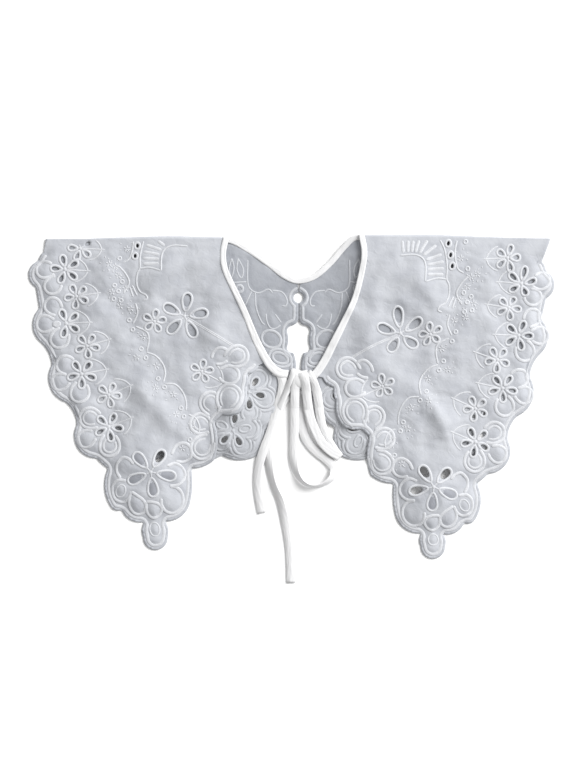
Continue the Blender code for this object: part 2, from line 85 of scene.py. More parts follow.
table_finish, _tree, _shader = plain_finish("white_table", TABLE_WHITE, 0.9)
corners = [(-1, -1), (1, -1), (1, 1), (-1, 1)]
table_mesh = bpy.data.meshes.new("table")
table_mesh.from_pydata([in_frame(a * TABLE_SIDE / 2, b * TABLE_SIDE / 2) for a, b in corners], [],
                       [(0, 1, 2, 3)])
table_mesh.materials.append(table_finish)
table = bpy.data.objects.new("table", table_mesh)
bpy.context.scene.collection.objects.link(table)

room = bpy.data.worlds.new("room")
room.use_nodes = True
room.node_tree.nodes["Background"].inputs["Color"].default_value = (1.0, 1.0, 1.0, 1.0)
room.node_tree.nodes["Background"].inputs["Strength"].default_value = ROOM_LIGHT
bpy.context.scene.world = room

lamp_data = bpy.data.lights.new("lamp", "AREA")
lamp_data.size = LAMP_SIDE * MM
lamp_data.energy = LAMP_POWER
lamp = bpy.data.objects.new("lamp", lamp_data)
lamp.location = in_frame(*LAMP_PLACE)
lamp.rotation_euler = (-lamp.location).to_track_quat("-Z", "Y").to_euler()
bpy.context.scene.collection.objects.link(lamp)

camera_data = bpy.data.cameras.new("camera")
camera_data.sensor_width = SENSOR
camera_data.lens = SENSOR * CAMERA_HEIGHT / VIEW_LENGTH
camera = bpy.data.objects.new("camera", camera_data)
camera.location = in_frame(*VIEW_CENTRE, CAMERA_HEIGHT)
bpy.context.scene.collection.objects.link(camera)
bpy.context.scene.camera = camera
bpy.context.scene.view_settings.view_transform = "Standard"


# The cut of the two halves
# Each half is one cloth, cut as back panel, shoulder and front panel. The front's long edge is cut
# in scallops down to a pendant at the tip. The right half is the left one turned over, and lies a
# little lower and further out than a mirror image would.
ARC_STEP = 1.2
BACK_MIDDLE = 6.0      # X of the centre back, about which the backs mirror
SHOULDERS = {
    "left": {"side": -1, "outer": (-211.1, 133.8), "neck": (-56.4, 133.9)},
    "right": {"side": 1, "outer": (222.5, 134.4), "neck": (60.4, 136.0)},
}

# The left front's scalloped edge: x, y, bulge of the arc to the next row (+ is outward)
FRONT_EDGE = [
    (-212.9, 123.4, 1.0), (-217.2, 115.7, 7.5), (-219.7, 93.3, 0.0), (-216.5, 75.0, 6.5),
    (-215.4, 46.0, -2.0), (-205.7, 26.5, 8.2), (-193.9, -5.6, -2.5), (-184.5, -25.5, 9.5),
    (-167.3, -53.8, 0.6), (-157.4, -62.4, 4.0), (-156.0, -94.0, 2.5), (-145.8, -98.0, 4.5),
    (-126.0, -108.2, 1.8), (-127.3, -121.5, 11.2), (-106.6, -121.5, 1.8), (-109.2, -107.8, 4.9),
    (-87.5, -92.5, 1.5), (-86.4, -62.4, 2.0), (-66.7, -55.5, 3.2), (-66.7, -22.5, 0.0),
    (-59.5, -16.0, 1.5), (-44.3, -14.2, 3.0), (-38.9, 7.0, 1.8), (-38.3, 18.5, 2.0),
    (-28.0, 26.0, 0.0),
]

# How the right front lies against a mirror image of the left:
# y, how much lower, how much further out inside the panel and at its edge
RIGHT_LIE = np.array([
    (-133.0, 5.2, 6.0, 6.0),
    (-107.0, 10.5, 3.0, 3.0),
    (-80.0, 12.5, 1.6, 1.6),
    (-40.0, 13.5, 0.8, 1.6),
    (10.0, 11.0, 1.0, -0.4),
    (60.0, 10.0, 1.3, -2.6),
    (95.0, 9.5, 2.2, -1.0),
    (115.0, 9.0, 3.2, 1.0),
    (140.0, 7.0, 5.0, 5.0),
])

# The left back's edge: hidden side, hem and centre back
BACK_SIDE = [
    (-207.5, 118.0, 3.0), (-212.0, 92.0, 3.0), (-209.0, 46.0, 0.0), (-200.0, 22.0, 3.0),
    (-187.0, -8.0, 3.0), (-163.0, -47.0, 4.0),
]
BACK_HEM = [
    (-137.0, -51.0, 4.0), (-109.0, -51.5, 4.0), (-84.0, -51.5, 4.0), (-60.0, -51.0, 4.5),
    (-29.0, -51.0, 3.0), (-21.5, -27.0, 3.0), (-12.5, -12.0, 3.5), (-6.0, 8.0, 1.0),
    (3.6, 22.0, 1.0), (1.3, 37.0, -2.0), (-4.3, 41.0, 1.5), (-4.3, 55.5, -1.5), (1.3, 60.6, 1.0),
    (6.0, 66.0, 0.0), (6.0, 79.4, -4.6), (6.0, 88.8, 0.0),
]

# The neck: the binding's middle line on the left front, on the right front and round the back
LEFT_FRONT_NECK = [
    (-2.9, 18.2), (-11.6, 20.0), (-20.2, 28.5), (-30.5, 47.7), (-40.9, 73.5), (-51.2, 95.0),
    (-57.2, 109.0), (-58.6, 122.0),
]
RIGHT_FRONT_NECK = [
    (17.8, 16.6), (21.5, 19.5), (28.8, 30.5), (37.4, 47.7), (46.0, 64.9), (54.6, 84.0),
    (60.6, 107.9), (62.4, 123.0),
]
BACK_NECK = [
    (-49.5, 132.0), (-35.7, 124.3), (-18.5, 112.2), (-5.6, 102.5), (6.0, 98.5), (20.2, 102.5),
    (33.1, 113.5), (43.5, 125.5), (52.5, 134.5),
]

# The right front sags a little round some flowers: x, y in the left drawing, reach, how far
RIGHT_SAGS = [(-92.0, 68.0, 22.0, 4.6), (-195.0, 108.0, 13.0, 3.0), (-76.0, 21.0, 20.0, 2.0),
              (-178.0, 32.0, 26.0, 1.8)]
# The right back is notched deeper beside the bow: y, reach, how much further out
RIGHT_NOTCH = (-26.0, 8.0, 4.5)
BY_THE_BOW = -40.0     # the left back is beside the bow from this X on


def smooth(value, start, end):
    """0 at start, 1 at end, easing in between."""
    t = np.clip((value - start) / (end - start), 0.0, 1.0)
    return t * t * (3.0 - 2.0 * t)


def as_drawn(_shoulder, points):
    """Points that lie as they are drawn, on either half."""
    return np.array(points, float).reshape(-1, 2)


def on_front(shoulder, points, edge=False):
    """Where points of the left front's drawing lie on one of the fronts."""
    points = as_drawn(shoulder, points)
    if shoulder["side"] < 0:
        return points
    out_column = 3 if edge else 2
    drop = np.interp(points[:, 1], RIGHT_LIE[:, 0], RIGHT_LIE[:, 1])
    if not edge:
        for x, y, reach, sag in RIGHT_SAGS:
            away = (points[:, 0] - x) ** 2 + (points[:, 1] - y) ** 2
            drop += sag * np.exp(-away / reach ** 2)
    out = np.interp(points[:, 1], RIGHT_LIE[:, 0], RIGHT_LIE[:, out_column])
    return np.stack([-points[:, 0] + out, points[:, 1] - drop], axis=1)


def on_front_edge(shoulder, points):
    """Where points of the left front's scalloped edge lie on one of the fronts."""
    return on_front(shoulder, points, edge=True)


def on_back(shoulder, points):
    """Where points of the left back's drawing lie on one of the backs."""
    points = as_drawn(shoulder, points)
    if shoulder["side"] < 0:
        return points
    return np.stack([2.0 * BACK_MIDDLE - points[:, 0], points[:, 1]], axis=1)


def on_back_edge(shoulder, points):
    """The hidden side of a back follows its own front; its hem mirrors about the centre back."""
    points = as_drawn(shoulder, points)
    placed = on_back(shoulder, points)
    if shoulder["side"] > 0:
        outer = points[:, 0] < BACK_SIDE[-1][0] + 1.0
        as_front = on_front(shoulder, points, edge=True)
        share = smooth(points[:, 1], BACK_SIDE[-1][1], 20.0)
        as_front[:, 1] = points[:, 1] + (as_front[:, 1] - points[:, 1]) * share
        placed[outer] = as_front[outer]
        notch_y, reach, further = RIGHT_NOTCH
        by_bow = points[:, 0] > BY_THE_BOW
        placed[by_bow, 0] += further * np.exp(-((points[by_bow, 1] - notch_y) / reach) ** 2)
    return placed


def fold_y(shoulder, x):
    """Y of the shoulder fold."""
    outer, neck = shoulder["outer"], shoulder["neck"]
    return outer[1] + (neck[1] - outer[1]) * (x - outer[0]) / (neck[0] - outer[0])


def arc(start, end, bulge):
    """Points from start towards end, on an arc that stands out to the right of its travel."""
    chord = end - start
    length = math.hypot(*chord)
    if abs(bulge) < 0.4:
        steps = max(1, round(length / ARC_STEP))
        return start + chord * (np.arange(steps) / steps)[:, None]
    radius = (length ** 2 / 4 + bulge ** 2) / (2 * abs(bulge))
    outward = np.array([chord[1], -chord[0]]) / length * np.sign(bulge)
    centre = (start + end) / 2 + outward * (abs(bulge) - radius)
    sweep = 2 * math.atan2(length / 2, radius - abs(bulge))
    steps = max(2, round(sweep * radius / ARC_STEP))
    angles = np.sign(bulge) * sweep * np.arange(steps) / steps
    arm = start - centre
    return centre + np.stack([
        arm[0] * np.cos(angles) - arm[1] * np.sin(angles),
        arm[0] * np.sin(angles) + arm[1] * np.cos(angles)], axis=1)


def scallops(rows, place, shoulder):
    """The edge drawn by a table of arcs."""
    corners = place(shoulder, [row[:2] for row in rows])
    lines = []
    for start, end, row in zip(corners, corners[1:], rows):
        lines.append(arc(start, end, -row[2] * shoulder["side"]))
    return np.vstack(lines + [corners[-1:]])


def travelled(points):
    """Length of a line from its start to each of its points."""
    return np.insert(np.cumsum(np.linalg.norm(np.diff(points, axis=0), axis=1)), 0, 0.0)


def smooth_line(rows, step):
    """Evenly spaced points on a smooth curve through the rows."""
    knots = np.array(rows, float)
    knots = np.vstack([2 * knots[0] - knots[1], knots, 2 * knots[-1] - knots[-2]])
    t = (np.arange(12) / 12)[:, None]
    fine = []
    for before, start, end, after in zip(knots, knots[1:], knots[2:], knots[3:]):
        fine.append(0.5 * (2 * start + (end - before) * t
                           + (2 * before - 5 * start + 4 * end - after) * t ** 2
                           + (3 * start - before - 3 * end + after) * t ** 3))
    fine = np.vstack(fine + [knots[-2:-1]])
    travel = travelled(fine[:, :3])
    goals = np.linspace(0.0, travel[-1], max(2, round(travel[-1] / step)) + 1)
    return np.stack([np.interp(goals, travel, column) for column in fine.T], axis=1)


def unit(vectors):
    """The same directions, with length 1."""
    return vectors / np.linalg.norm(vectors, axis=1)[:, None]


def leftward(travel):
    """Directions in the plane to the left of some travel."""
    return unit(np.stack([-travel[:, 1], travel[:, 0]], axis=1))


def offset_line(points, distance):
    """The points of a line in the plane, moved to the left of its travel."""
    return points + leftward(np.gradient(points, axis=0)) * distance


def softened(points, passes):
    """A line with its sharp corners eased."""
    points = points.copy()
    for _pass in range(passes):
        points[1:-1] = (points[:-2] + points[1:-1] * 2 + points[2:]) / 4
    return points


for shoulder in SHOULDERS.values():
    shoulder["edge"] = scallops(FRONT_EDGE, on_front_edge, shoulder)
    shoulder["back_edge"] = scallops(BACK_SIDE + BACK_HEM, on_back_edge, shoulder)


# The embroidery's pattern
# Flowers of five drop-shaped eyelets, with puffed petals along the scallops, pointed leaves, and a
# # winding stem with rings and stars. A closed eyelet is filled with satin stitch, or keeps its lawn
# # inside its ring, coloured darker as painted shade. Every line of the pattern is kept with its kind
# of stitch.
THREAD_STEP = 0.9
# Width and height of each kind of sewn line
RING_LINE = (2.2, 0.42)
PETAL_LINE = (3.2, 0.45)
EDGE_LINE = (3.3, 0.38)
INNER_LINE = (2.2, 0.22)
LEAF_LINE = (1.5, 0.24)
BACK_LINE = (2.8, 0.42)
STEM_LINE = (1.2, 0.14)
VINE_LINE = (1.7, 0.35)
SMALL_LINE = (1.5, 0.42)
FILL_LINE = (1.7, 0.60)
BAR_LINE = (3.1, 0.30)
EDGE_INSET = 3.8       # from the scalloped edge in to its satin line
EYELET_SIDES = 18
EYELET_CLEAR = 2.0     # petal lines stop this far from an eyelet
FOLD_CLEAR = 0.8       # and nothing is cut or sewn this close to the shoulder fold
RING_OUT = 0.42        # share of a ring line's width from the eyelet's edge to its middle
EYELET_TAPER = 0.12    # how much narrower an eyelet is towards its flower's centre
RING_TIP = 0.34        # the rings run together at this share of the way out to the eyelets
RING_TAPER = (0.22, 0.08)    # how a ring narrows towards the centre, evenly and at its end
RING_POINTS = 28

# Flowers of five eyelets: ring radius, eyelet length and width
FLOWERS = {
    "edge": (8.6, 6.3, 3.7),
    "inset": (7.4, 4.8, 3.3),
    "tip": (15.1, 10.8, 6.8),
    "large": (13.8, 11.2, 6.6),
    "small": (6.6, 5.0, 3.2),
    "hem": (10.4, 7.4, 4.6),
}
FILL_ROWS = (-0.55, -0.28, 0.0, 0.28, 0.55)    # lines that fill a closed eyelet, across its width
LINED_RING = 12.0      # in rings past this radius a closed eyelet keeps its lawn, coloured darker as painted shade
# Kind, x, y, turn of the first eyelet in degrees, eyelets closed on the left and on the right half
FRONT_FLOWERS = [
    ("inset", -181.4, 126.2, 104.0, (), ()),
    ("edge", -194.4, 108.2, 103.0, (), ()),
    ("inset", -184.5, 85.1, 117.0, (), ()),
    ("edge", -193.5, 61.9, 112.0, (1,), ()),
    ("inset", -175.4, 42.6, 131.0, (), ()),
    ("edge", -180.2, 18.5, 125.0, (), ()),
    ("inset", -157.0, 0.4, 138.0, (), ()),
    ("edge", -157.0, -27.1, 137.0, (), ()),
    ("tip", -120.5, -65.5, 132.0, (0, 1, 2, 3), (1, 2)),
    ("large", -91.8, 68.0, 81.0, (), ()),
    ("small", -117.8, 63.8, 80.0, (), ()),
    ("small", -77.2, 20.8, 80.0, (), ()),
]
BACK_FLOWERS = [
    ("hem", -37.0, 2.6, 58.0, (), ()),
    ("hem", -50.3, -30.2, 82.0, (1, 4), (3,)),
    ("hem", -98.0, -31.0, 90.0, (), ()),
    ("hem", -150.0, -24.0, 120.0, (), ()),
]

# Petals along the edge, left front: x, y, radius of the round part
PETALS = [
    (-205.1, 94.2, 6.9), (-212.0, 107.9, 6.9), (-205.1, 77.0, 6.9), (-212.0, 61.5, 6.9),
    (-199.1, 48.6, 7.7), (-193.9, 26.2, 7.7), (-199.1, 11.6, 6.9), (-181.9, 2.2, 7.7),
    (-173.3, -19.4, 8.6), (-176.7, -37.4, 6.9), (-156.1, -43.4, 8.6), (-93.3, -48.6, 7.7),
    (-77.0, -44.8, 9.5), (-78.7, -24.2, 8.4), (-69.8, -6.0, 8.8), (-53.4, -1.2, 10.3),
    (-52.9, 17.6, 7.6), (-60.5, 34.4, 6.6), (-46.6, 33.8, 9.0),
]
LARGE_PETAL = 8.3      # a petal larger than this has a second line inside it
PETAL_INNER = 3.2      # so far in
# The petals of the tip, drawn one by one
TIP_PETALS = [
    [(-135.4, -58.7), (-138.9, -54.8), (-144.3, -53.3), (-149.1, -58.2), (-149.6, -65.2),
     (-147.0, -71.1)],
    [(-141.8, -73.2), (-148.6, -72.7), (-152.9, -77.0), (-153.4, -83.5), (-150.7, -89.4),
     (-144.6, -91.3), (-139.8, -88.3), (-137.4, -82.4)],
    [(-137.0, -82.4), (-139.1, -87.8), (-138.9, -94.2), (-135.7, -100.1), (-130.8, -101.9),
     (-126.5, -99.6), (-124.9, -94.2), (-127.6, -89.4), (-132.5, -85.6), (-137.0, -82.4)],
    [(-124.7, -91.0), (-124.7, -96.4), (-122.8, -101.7), (-118.5, -105.0), (-114.2, -102.8),
     (-111.6, -97.4), (-113.6, -93.4), (-118.5, -91.4), (-124.7, -91.0)],
    [(-112.0, -88.3), (-111.5, -94.2), (-107.7, -99.3), (-101.3, -100.9), (-95.6, -96.7),
     (-93.4, -89.9), (-95.0, -82.9), (-99.1, -78.8), (-104.3, -77.7)],
    [(-106.6, -60.3), (-100.2, -58.2), (-94.8, -61.4), (-91.8, -67.3), (-93.2, -72.7),
     (-97.5, -76.5), (-104.5, -77.5)],
]
TIP_PUFFS = [(-140.0, -62.5, 7.5), (-146.0, -82.0, 8.0), (-132.0, -93.5, 6.5), (-118.4, -98.5, 5.5),
             (-102.5, -89.5, 9.5), (-99.5, -67.5, 6.0)]
# Where the mouths of the inner edge's petals point
PETAL_FOCI = [(-77.0, 21.5), (-62.0, -30.0)]
# Ovals sewn inside petals and in the pendant: x, y, half length, half width, heading
OVALS = [(-146.6, -82.0, 5.4, 4.0, 70.0), (-117.7, -115.0, 6.0, 4.2, 101.0)]

# Leaves: x, y of the flower, heading in degrees, length from the flower's centre to the leaf's tip
LEAVES = [
    (-181.4, 126.2, -3.0, 18.5), (-194.4, 108.2, -4.0, 19.6), (-184.5, 85.1, 8.0, 18.8),
    (-193.5, 61.9, 2.0, 20.5), (-175.4, 42.6, 16.0, 19.5), (-180.2, 18.5, 10.0, 21.5),
    (-157.0, 0.4, 23.0, 20.5), (-157.0, -27.1, 22.0, 21.0), (-77.2, 20.8, -28.7, 20.4),
]
# Rows along and across a leaf's half, as shares of its length
LEAF_HALF = [(0.44, 0.52), (0.62, 0.46), (0.86, 0.27), (1.0, 0.02)]
VEIN_PAST_TIP = 2.6

# The winding stem of the left front
VINE = [
    [(-137.0, 141.0), (-135.8, 130.2), (-138.7, 118.3), (-144.5, 114.0)],
    [(-148.6, 111.4), (-142.4, 104.5), (-139.3, 96.8), (-144.0, 87.6)],
    [(-133.7, 79.2), (-132.1, 70.8), (-136.0, 61.6)],
    [(-133.7, 59.3), (-124.4, 54.6), (-122.6, 47.7), (-124.4, 37.8)],
    [(-124.4, 37.0), (-116.8, 34.0), (-110.6, 27.1), (-108.4, 19.4), (-109.8, 11.6)],
    [(-108.4, 10.1), (-99.8, 9.4), (-93.7, 3.2), (-90.7, -5.2), (-90.7, -12.9)],
    [(-88.4, -16.3), (-82.5, -19.4), (-79.2, -26.2), (-79.8, -32.1)],
]
VINE_RINGS = [
    (-147.6, 117.6), (-145.3, 97.6), (-151.8, 94.4), (-152.6, 82.8), (-144.4, 139.0),
    (-148.6, 89.5), (-146.3, 81.5), (-139.3, 64.6), (-136.3, 56.6), (-129.1, 40.0),
    (-125.2, 32.3), (-114.5, 14.4), (-109.1, 7.1), (-94.9, -10.8), (-92.5, -18.1), (-87.4, -38.0),
]
VINE_RING = 1.6
VINE_STARS = [
    (-141.2, 126.0), (-151.0, 110.9), (-156.4, 113.0), (-148.4, 102.6), (-142.4, 91.6),
    (-154.0, 88.6), (-147.0, 76.8),
    (-137.8, 74.6), (-127.5, 50.8), (-132.9, 33.1), (-116.0, 25.5), (-116.8, 7.1),
    (-101.4, 0.9), (-98.9, -16.3), (-85.7, -25.4), (-93.7, -45.2),
]
STAR_RAYS = 5
# Short seed stitches strewn round the stars
SEEDS = 7
SEED_LINE = (1.2, 0.34)
SEED_TURN = 137.5      # degrees from one seed to the next
SEED_AWAY = 4.2        # from the star's middle to its seeds
SEED_SCATTER = 2.6     # and how much nearer or further they are strewn
# Near the shoulder: a band of satin bars between two lines, with a hooked stem below
BAND_LINES = [
    [(-122.0, 141.0), (-127.0, 132.0), (-129.8, 119.5), (-130.0, 109.4), (-132.4, 104.1),
     (-132.7, 95.5), (-129.8, 89.0), (-124.9, 86.3), (-123.6, 83.1), (-127.1, 81.3)],
    [(-89.0, 128.0), (-101.0, 128.6), (-108.4, 125.6), (-111.4, 119.0), (-111.6, 107.0)],
    [(-130.3, 108.9), (-121.7, 109.6), (-112.0, 106.9)],
    [(-136.7, 94.4), (-132.4, 85.8)],
    [(-138.6, 92.8), (-135.9, 84.7)],
]
BARS = [
    ((-89.0, 144.0), (-91.4, 130.2)), ((-94.6, 144.0), (-95.2, 130.6)),
    ((-99.6, 144.0), (-98.6, 130.6)), ((-105.0, 143.0), (-101.8, 130.4)),
    ((-112.0, 141.0), (-105.4, 129.8)), ((-119.4, 136.2), (-108.8, 128.2)),
    ((-124.6, 129.0), (-111.6, 124.6)), ((-127.0, 123.0), (-113.2, 120.6)),
    ((-127.4, 117.6), (-113.4, 116.8)), ((-127.2, 112.8), (-113.4, 112.8)),
]
# Single small eyelets in a row beside the band
SMALL_EYELETS = [(-129.6, 137.6), (-132.2, 128.4), (-134.2, 119.6)]
SMALL_EYELET = (3.7, 2.7)
# The long double stem under the large flower
LONG_STEM = [(-89.6, 66.6), (-66.0, 52.4), (-41.8, 37.3)]
LONG_STEM_HALF = 0.6

# The wrong side of the left back, inside the neck and beside the bow
WRONG_LINES = [
    [(-37.8, 116.5), (-37.8, 97.6), (-34.8, 90.7), (-28.0, 88.2), (-20.2, 91.2), (-16.3, 88.2)],
    [(-31.4, 88.7), (-30.5, 75.5), (-26.2, 64.1), (-23.0, 60.6)],
    [(-16.8, 90.3), (-8.2, 88.7), (-4.0, 82.1), (-4.9, 77.1), (-8.2, 77.1)],
    [(-22.2, 70.3), (-21.2, 63.8), (-18.5, 58.5), (-14.2, 57.4), (-9.4, 60.6)],
    [(-14.2, 69.8), (-9.0, 62.6)],
    [(-34.5, 89.4), (-40.2, 77.1)],
    [(-50.3, 96.8), (-38.6, 97.6)],
    [(-51.3, 117.6), (-53.6, 109.0), (-51.8, 101.4), (-49.6, 109.5), (-51.3, 117.6)],
    [(-45.9, 117.6), (-47.0, 108.0), (-43.2, 100.8), (-41.6, 108.2), (-45.9, 117.6)],
]
# Petals and a ring beside the keyhole: x, y, half length, half width, heading
WRONG_RINGS = [(-17.5, 48.3, 8.6, 7.2, -30.0), (-9.9, 32.0, 10.0, 7.2, -22.0),
               (-9.9, 32.0, 6.8, 4.4, -22.0), (-44.8, 91.6, 2.9, 2.9, 0.0)]
BACK_PETALS = [(-28.8, 14.2, 7.6), (-23.2, -2.6, 7.6), (-36.3, -15.0, 6.4), (-37.6, -28.2, 8.2),
               (-42.6, -42.6, 7.4), (-60.5, -40.0, 6.2)]
BACK_PETAL_RIM = 2.9   # from a back petal's line out to the line round it


def at(middle, heading, along, across):
    """Points given along and across a heading from a middle."""
    turn = math.radians(heading)
    return np.stack([middle[0] + along * math.cos(turn) - across * math.sin(turn),
                     middle[1] + along * math.sin(turn) + across * math.cos(turn)], axis=1)


def flower_eyelets(shoulder, flowers, closed):
    """Middle, heading, ring, length and width of the open or of the closed eyelets of flowers."""
    drops = []
    if flowers is FRONT_FLOWERS and not closed:
        drops = [(middle, 90.0, 0.0) + SMALL_EYELET for middle in SMALL_EYELETS]
    for kind, x, y, turn, filled_left, filled_right in flowers:
        ring, length, width = FLOWERS[kind]
        filled = filled_left if shoulder["side"] < 0 else filled_right
        for index in range(5):
            if (index in filled) == closed:
                drops.append(((x, y), turn + 72.0 * index, ring, length, width))
    return drops


def eyelet_hole(drop):
    """Outline of an eyelet: a drop with its point towards the flower."""
    middle, heading, ring, length, width = drop
    t = 2 * math.pi * np.arange(EYELET_SIDES) / EYELET_SIDES
    return at(middle, heading, ring + length / 2 * np.cos(t),
              width / 2 * np.sin(t) * (1.0 + EYELET_TAPER * np.cos(t)))


def eyelet_ring(drop):
    """Middle line of the satin stitch round an eyelet, drawn out to the flower's centre."""
    middle, heading, ring, length, width = drop
    grow = RING_LINE[0] * RING_OUT
    t = 2 * math.pi * np.arange(RING_POINTS) / RING_POINTS
    if ring == 0.0:
        return at(middle, heading, (length / 2 + grow) * np.cos(t), (width / 2 + grow) * np.sin(t))
    reach = np.where(np.cos(t) > 0, length / 2 + grow, ring * (1.0 - RING_TIP))
    narrow = np.where(np.cos(t) > 0, 1.0 + EYELET_TAPER * np.cos(t),
                      1.0 + RING_TAPER[0] * np.cos(t) - RING_TAPER[1] * np.cos(t) ** 2)
    return at(middle, heading, ring + reach * np.cos(t), (width / 2 + grow) * np.sin(t) * narrow)


def ringed(drop):
    """The satin stitch round an eyelet, and the short line to it from its flower's centre."""
    middle, heading, ring, _length, _width = drop
    lines = [(eyelet_ring(drop), RING_LINE, True)]
    if ring > 0:
        reach = np.linspace(0.6, ring * RING_TIP + 1.0, 5)
        lines.append((at(middle, heading, reach, reach * 0), LEAF_LINE, False))
    return lines


def oval(x, y, half_length, half_width, heading):
    """An oval with its long side along a heading."""
    t = np.linspace(0, 2 * math.pi, max(10, round(5.5 * half_length / THREAD_STEP)), endpoint=False)
    return at((x, y), heading, half_length * np.cos(t), half_width * np.sin(t))


def petal_line(x, y, radius, flower):
    """A petal: a round loop whose two arms run towards its flower."""
    heading = math.degrees(math.atan2(flower[1] - y, flower[0] - x))
    half = [(1.2, 0.48), (0.6, 0.88), (0.0, 1.0), (-0.5, 0.87), (-0.87, 0.5)]
    rows = half + [(-1.0, 0.0)] + [(along, -across) for along, across in half[::-1]]
    line = smooth_line(np.array(rows) * radius, THREAD_STEP)
    return at((x, y), heading, line[:, 0], line[:, 1])


def outside_petals(line, petals, margin, drops):
    """The runs of a line that lie outside some petals and clear of some eyelets."""
    free = np.ones(len(line), bool)
    for x, y, radius in petals:
        free &= np.hypot(line[:, 0] - x, line[:, 1] - y) > radius + margin
    for middle, heading, ring, length, width in drops:
        eyelet = at(middle, heading, np.array([ring]), np.array([0.0]))[0]
        local = at((0.0, 0.0), -heading, *(line - eyelet).T)
        free &= ((local[:, 0] / (length / 2 + EYELET_CLEAR)) ** 2
                 + (local[:, 1] / (width / 2 + EYELET_CLEAR)) ** 2) > 1.0
    runs = []
    for index in np.flatnonzero(free):
        if runs and runs[-1][-1] == index - 1:
            runs[-1].append(index)
        else:
            runs.append([index])
    return [line[run] for run in runs if len(run) > 2]


def leaf_lines(x, y, heading, length):
    """Two arcs that meet in the leaf's tip, and the vein from the flower's centre out past it."""
    vein = np.linspace(1.0, length + VEIN_PAST_TIP, round(length / THREAD_STEP))
    lines = [at((x, y), heading, vein, vein * 0)]
    for hand in (-1, 1):
        half = smooth_line(np.array(LEAF_HALF) * length * (1, hand), THREAD_STEP)
        lines.append(at((x, y), heading, half[:, 0], half[:, 1]))
    return lines


def front_pattern(shoulder):
    """Every line sewn on a front: its points where they lie, its kind of line, whether it closes."""
    lines = []
    drops = flower_eyelets(shoulder, FRONT_FLOWERS, closed=False)
    for drop in drops:
        lines += ringed(drop)
    for drop in flower_eyelets(shoulder, FRONT_FLOWERS, closed=True):
        middle, heading, ring, length, width = drop
        if ring > LINED_RING:
            lines += ringed(drop)
            drops.append(drop)
            continue
        reach = np.linspace(ring - length / 2 - 1.0, ring + length / 2, 11)
        for across in FILL_ROWS:
            bow = np.sin(np.linspace(0.04, 0.96, 11) * math.pi) * across * width
            lines.append((at(middle, heading, reach, bow), FILL_LINE, False))
    foci = [flower[1:3] for flower in FRONT_FLOWERS if flower[0] in ("edge", "inset", "tip")]
    foci = np.array(foci + PETAL_FOCI)
    for index, (x, y, radius) in enumerate(PETALS):
        focus = foci[np.argmin(np.hypot(foci[:, 0] - x, foci[:, 1] - y))]
        runs = outside_petals(petal_line(x, y, radius, focus), PETALS[index + 1:], -0.4, drops)
        lines += [(run, PETAL_LINE, False) for run in runs]
        if radius > LARGE_PETAL:
            inner = petal_line(x, y, radius - PETAL_INNER, focus)
            runs = outside_petals(inner, PETALS[index + 1:], 0.6, drops)
            lines += [(run, INNER_LINE, False) for run in runs]
    for rows in TIP_PETALS:
        runs = outside_petals(smooth_line(rows, THREAD_STEP), [], 0.0, drops)
        lines += [(run, PETAL_LINE, False) for run in runs]
    for row in OVALS:
        lines.append((oval(*row), LEAF_LINE, True))
    for leaf in LEAVES:
        for line in leaf_lines(*leaf):
            lines.append((line, LEAF_LINE, False))
    for rows in VINE + BAND_LINES:
        lines.append((smooth_line(rows, THREAD_STEP), VINE_LINE, False))
    for x, y in VINE_RINGS:
        lines.append((oval(x, y, VINE_RING, VINE_RING, 0.0), SMALL_LINE, True))
    for x, y in VINE_STARS:
        for index in range(STAR_RAYS):
            reach = np.array([0.6, 1.8, 3.0])
            ray = at((x, y), 90.0 + 360.0 / STAR_RAYS * index, reach, reach * 0)
            lines.append((ray, SMALL_LINE, False))
    for index in range(SEEDS * len(VINE_STARS)):
        x, y = VINE_STARS[index // SEEDS]
        heading = SEED_TURN * index
        away = np.array([0.0, 0.8, 1.6]) + SEED_AWAY + SEED_SCATTER * math.sin(2.3 * index)
        seed = at((x, y), heading, away, 0.6 * (away - away[0]) * math.sin(1.7 * index))
        lines.append((seed, SEED_LINE, False))
    for start, end in BARS:
        lines.append((np.linspace(start, end, 14), BAR_LINE, False))
    stem = smooth_line(LONG_STEM, THREAD_STEP)
    for hand in (-1, 1):
        lines.append((offset_line(stem, LONG_STEM_HALF * hand), STEM_LINE, False))

    top = shoulder["outer"][1] - FOLD_CLEAR
    placed = []
    for line, kind, closed in lines:
        line = on_front(shoulder, line)
        if closed and line[:, 1].max() > top:
            continue
        line = line[line[:, 1] < top]
        if len(line) > (4 if kind is BAR_LINE else 2):
            placed.append((line, kind, closed))
    edge_line = softened(offset_line(shoulder["edge"], -EDGE_INSET * shoulder["side"]), 6)
    placed.append((edge_line, EDGE_LINE, False))
    return placed


